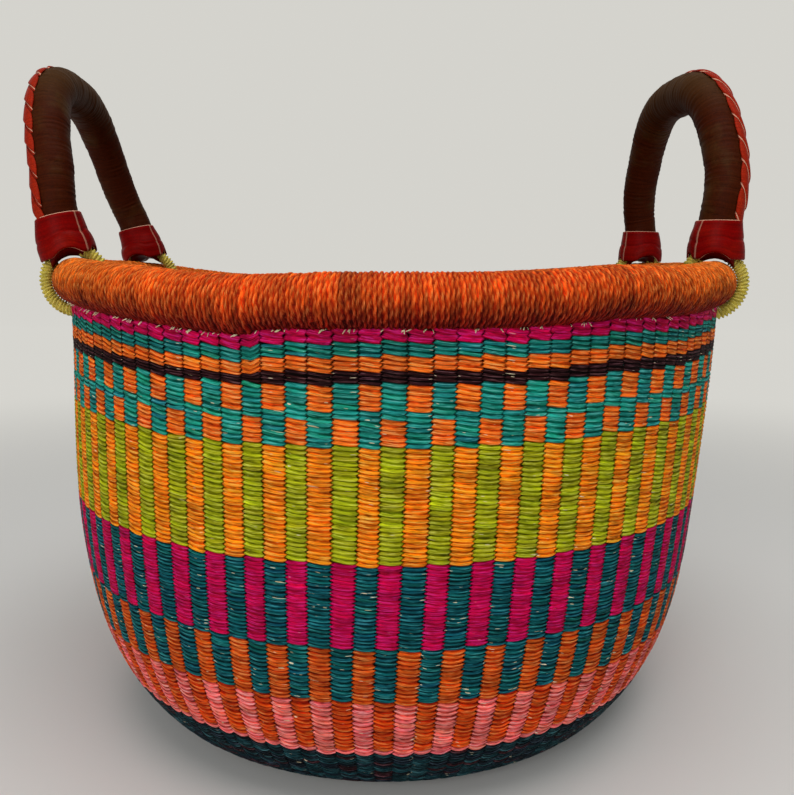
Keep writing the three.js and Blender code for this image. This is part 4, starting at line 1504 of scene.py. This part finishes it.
class BASKET_OT_stage(BasketOperator, bpy.types.Operator):
    """Set the camera of the photograph, soft lamps and a pale floor"""

    bl_idname = "basket.stage"
    bl_label = "Set Stage"

    def execute(self, context):
        self.camera(context.scene)
        self.lamp("overhead_softbox", (0.1, -0.35, 1.5), (0, 0, 0.15), 1.3, 11)
        self.lamp("front_softbox", (-0.5, -1.9, 0.75), (0, 0, 0.12), 1.4, 16)
        world = bpy.data.worlds.new("studio")
        context.scene.world = world
        world.use_nodes = True
        tree = world.node_tree
        tree.nodes.clear()
        seen = self.seen_by(tree, "Is Camera Ray", "Is Transmission Ray")
        colour = blend(tree, seen, SKY_COLOUR, FAR_COLOUR)
        strength = node(tree, "ShaderNodeMapRange", {0: seen, 3: 0.3, 4: 1.0}).outputs[0]
        glow = node(tree, "ShaderNodeBackground", {0: colour, 1: strength})
        node(tree, "ShaderNodeOutputWorld", {0: glow.outputs[0]})
        self.floor()
        context.scene.view_settings.view_transform = "Standard"
        return {"FINISHED"}

    def seen_by(self, tree, first, *others):
        """One where a ray is of any of these kinds, otherwise zero."""
        path = node(tree, "ShaderNodeLightPath").outputs
        seen = path[first]
        for kind in others:
            seen = calc(tree, "MAXIMUM", seen, path[kind])
        return seen

    def camera(self, scene):
        """The photograph's camera: place, pitch, and roll about its own axis."""
        pitch, roll = math.radians(CAMERA_PITCH), math.radians(CAMERA_ROLL)
        forward = np.array([0, math.cos(pitch), -math.sin(pitch)])
        up = np.array([0, math.sin(pitch), math.cos(pitch)])
        right = np.array([1.0, 0, 0])
        data = bpy.data.cameras.new("photo_camera")
        data.sensor_fit = "HORIZONTAL"
        data.sensor_width = SENSOR_WIDTH
        data.lens = SENSOR_WIDTH * PHOTO_FOCAL / PHOTO_WIDTH
        data.shift_x = PHOTO_SHIFT / PHOTO_WIDTH
        data.clip_start = 0.01
        camera = put_object("photo_camera", data)
        place = np.eye(4)
        place[:3, 0] = math.cos(roll) * right + math.sin(roll) * up
        place[:3, 1] = math.cos(roll) * up - math.sin(roll) * right
        place[:3, 2] = -forward
        place[:3, 3] = CAMERA_PLACE
        camera.matrix_world = place.T.tolist()
        scene.camera = camera

    def lamp(self, name, place, aim, size, power):
        """A round soft lamp at a place, turned towards its aim."""
        data = bpy.data.lights.new(name, "AREA")
        data.shape = "DISK"
        data.size = size
        data.energy = power
        lamp = put_object(name, data)
        lamp.location = place
        x, y, z = np.array(aim) - np.array(place)
        lamp.rotation_euler = (math.atan2(math.hypot(x, y), -z), 0, math.atan2(y, x) - math.pi / 2)

    def floor(self):
        """A floor that curves up far behind into a backdrop: flat, then a quarter of a circle. Far
        from the basket it turns into the backdrop's even colour."""
        across = np.linspace(-6, 6, 3)
        turn = np.linspace(0, math.pi / 2, 14)[1:]
        curve = joined(3.0 + 1.2 * np.sin(turn), 1.2 - 1.2 * np.cos(turn))
        outline = np.concatenate([[[-4.0, 0.0], [3.0, 0.0]], curve, [[4.2, 5.0]]])
        points = joined(across, outline[:, 0, None], outline[:, 1, None] - 0.0002)
        index = np.arange(len(outline) * 3).reshape(-1, 3)
        quads = np.stack([index[:-1, :-1], index[:-1, 1:], index[1:, 1:], index[1:, :-1]], axis=-1)
        mesh = bpy.data.meshes.new("floor")
        mesh.from_pydata(points.reshape(-1, 3).tolist(), [], quads.reshape(-1, 4).tolist())
        mesh.polygons.foreach_set("use_smooth", np.ones(len(mesh.polygons), bool))
        material, tree, shader = finish("pale_floor", FLOOR_SHINE)
        seen = self.seen_by(tree, "Is Camera Ray", "Is Glossy Ray", "Is Transmission Ray")
        place = node(tree, "ShaderNodeTexCoord").outputs["Object"]
        off = node(tree, "ShaderNodeVectorMath", {0: place}, operation="LENGTH").outputs[1]
        shown = calc(tree, "MULTIPLY", seen, between(tree, off, 0.28, 1.4))
        base, glow = shader.inputs["Base Color"], shader.inputs["Emission Color"]
        tree.links.new(blend(tree, shown, FLOOR_COLOUR, BLACK), base)
        tree.links.new(blend(tree, shown, BLACK, FAR_COLOUR), glow)
        shader.inputs["Emission Strength"].default_value = 1.0
        shader.inputs["Roughness"].default_value = 0.9
        mesh.materials.append(material)
        floor = put_object("floor", mesh)


class BASKET_PT_panel(bpy.types.Panel):
    """Shows the basket's settings and a button for each builder"""

    bl_label = "Woven Basket"
    bl_idname = "BASKET_PT_panel"
    bl_space_type = "VIEW_3D"
    bl_region_type = "UI"
    bl_category = "Basket"

    def draw(self, context):
        for group_name in GROUPS:
            box = self.layout.box()
            settings = getattr(context.scene, group_name)
            box.label(text=group_name.replace("_", " ").capitalize())
            for key in settings.bl_rna.properties.keys():
                if key not in ("rna_type", "name"):
                    box.prop(settings, key)
        for operator in OPERATORS:
            self.layout.operator(operator.bl_idname)


OPERATORS = (
    BASKET_OT_stage,
    BASKET_OT_base,
    BASKET_OT_wall,
    BASKET_OT_inside,
    BASKET_OT_rim,
    BASKET_OT_tips,
    BASKET_OT_leather,
    BASKET_OT_lacing,
    BASKET_OT_cuffs,
    BASKET_OT_loops,
)
GROUPS = {
    "basket_weave": BasketWeave,
    "basket_rim": BasketRim,
    "basket_handles": BasketHandles,
    "straw_colours": StrawColours,
    "leather_colours": LeatherColours,
}


def register():
    for cls in (*GROUPS.values(), *OPERATORS, BASKET_PT_panel):
        bpy.utils.register_class(cls)
    for name, cls in GROUPS.items():
        setattr(bpy.types.Scene, name, bpy.props.PointerProperty(type=cls))


def unregister():
    for name in GROUPS:
        delattr(bpy.types.Scene, name)
    for cls in reversed((*GROUPS.values(), *OPERATORS, BASKET_PT_panel)):
        bpy.utils.unregister_class(cls)


def main():
    register()
    for operator in OPERATORS:
        family, action = operator.bl_idname.split(".")
        getattr(getattr(bpy.ops, family), action)()


if __name__ == "__main__":
    main()
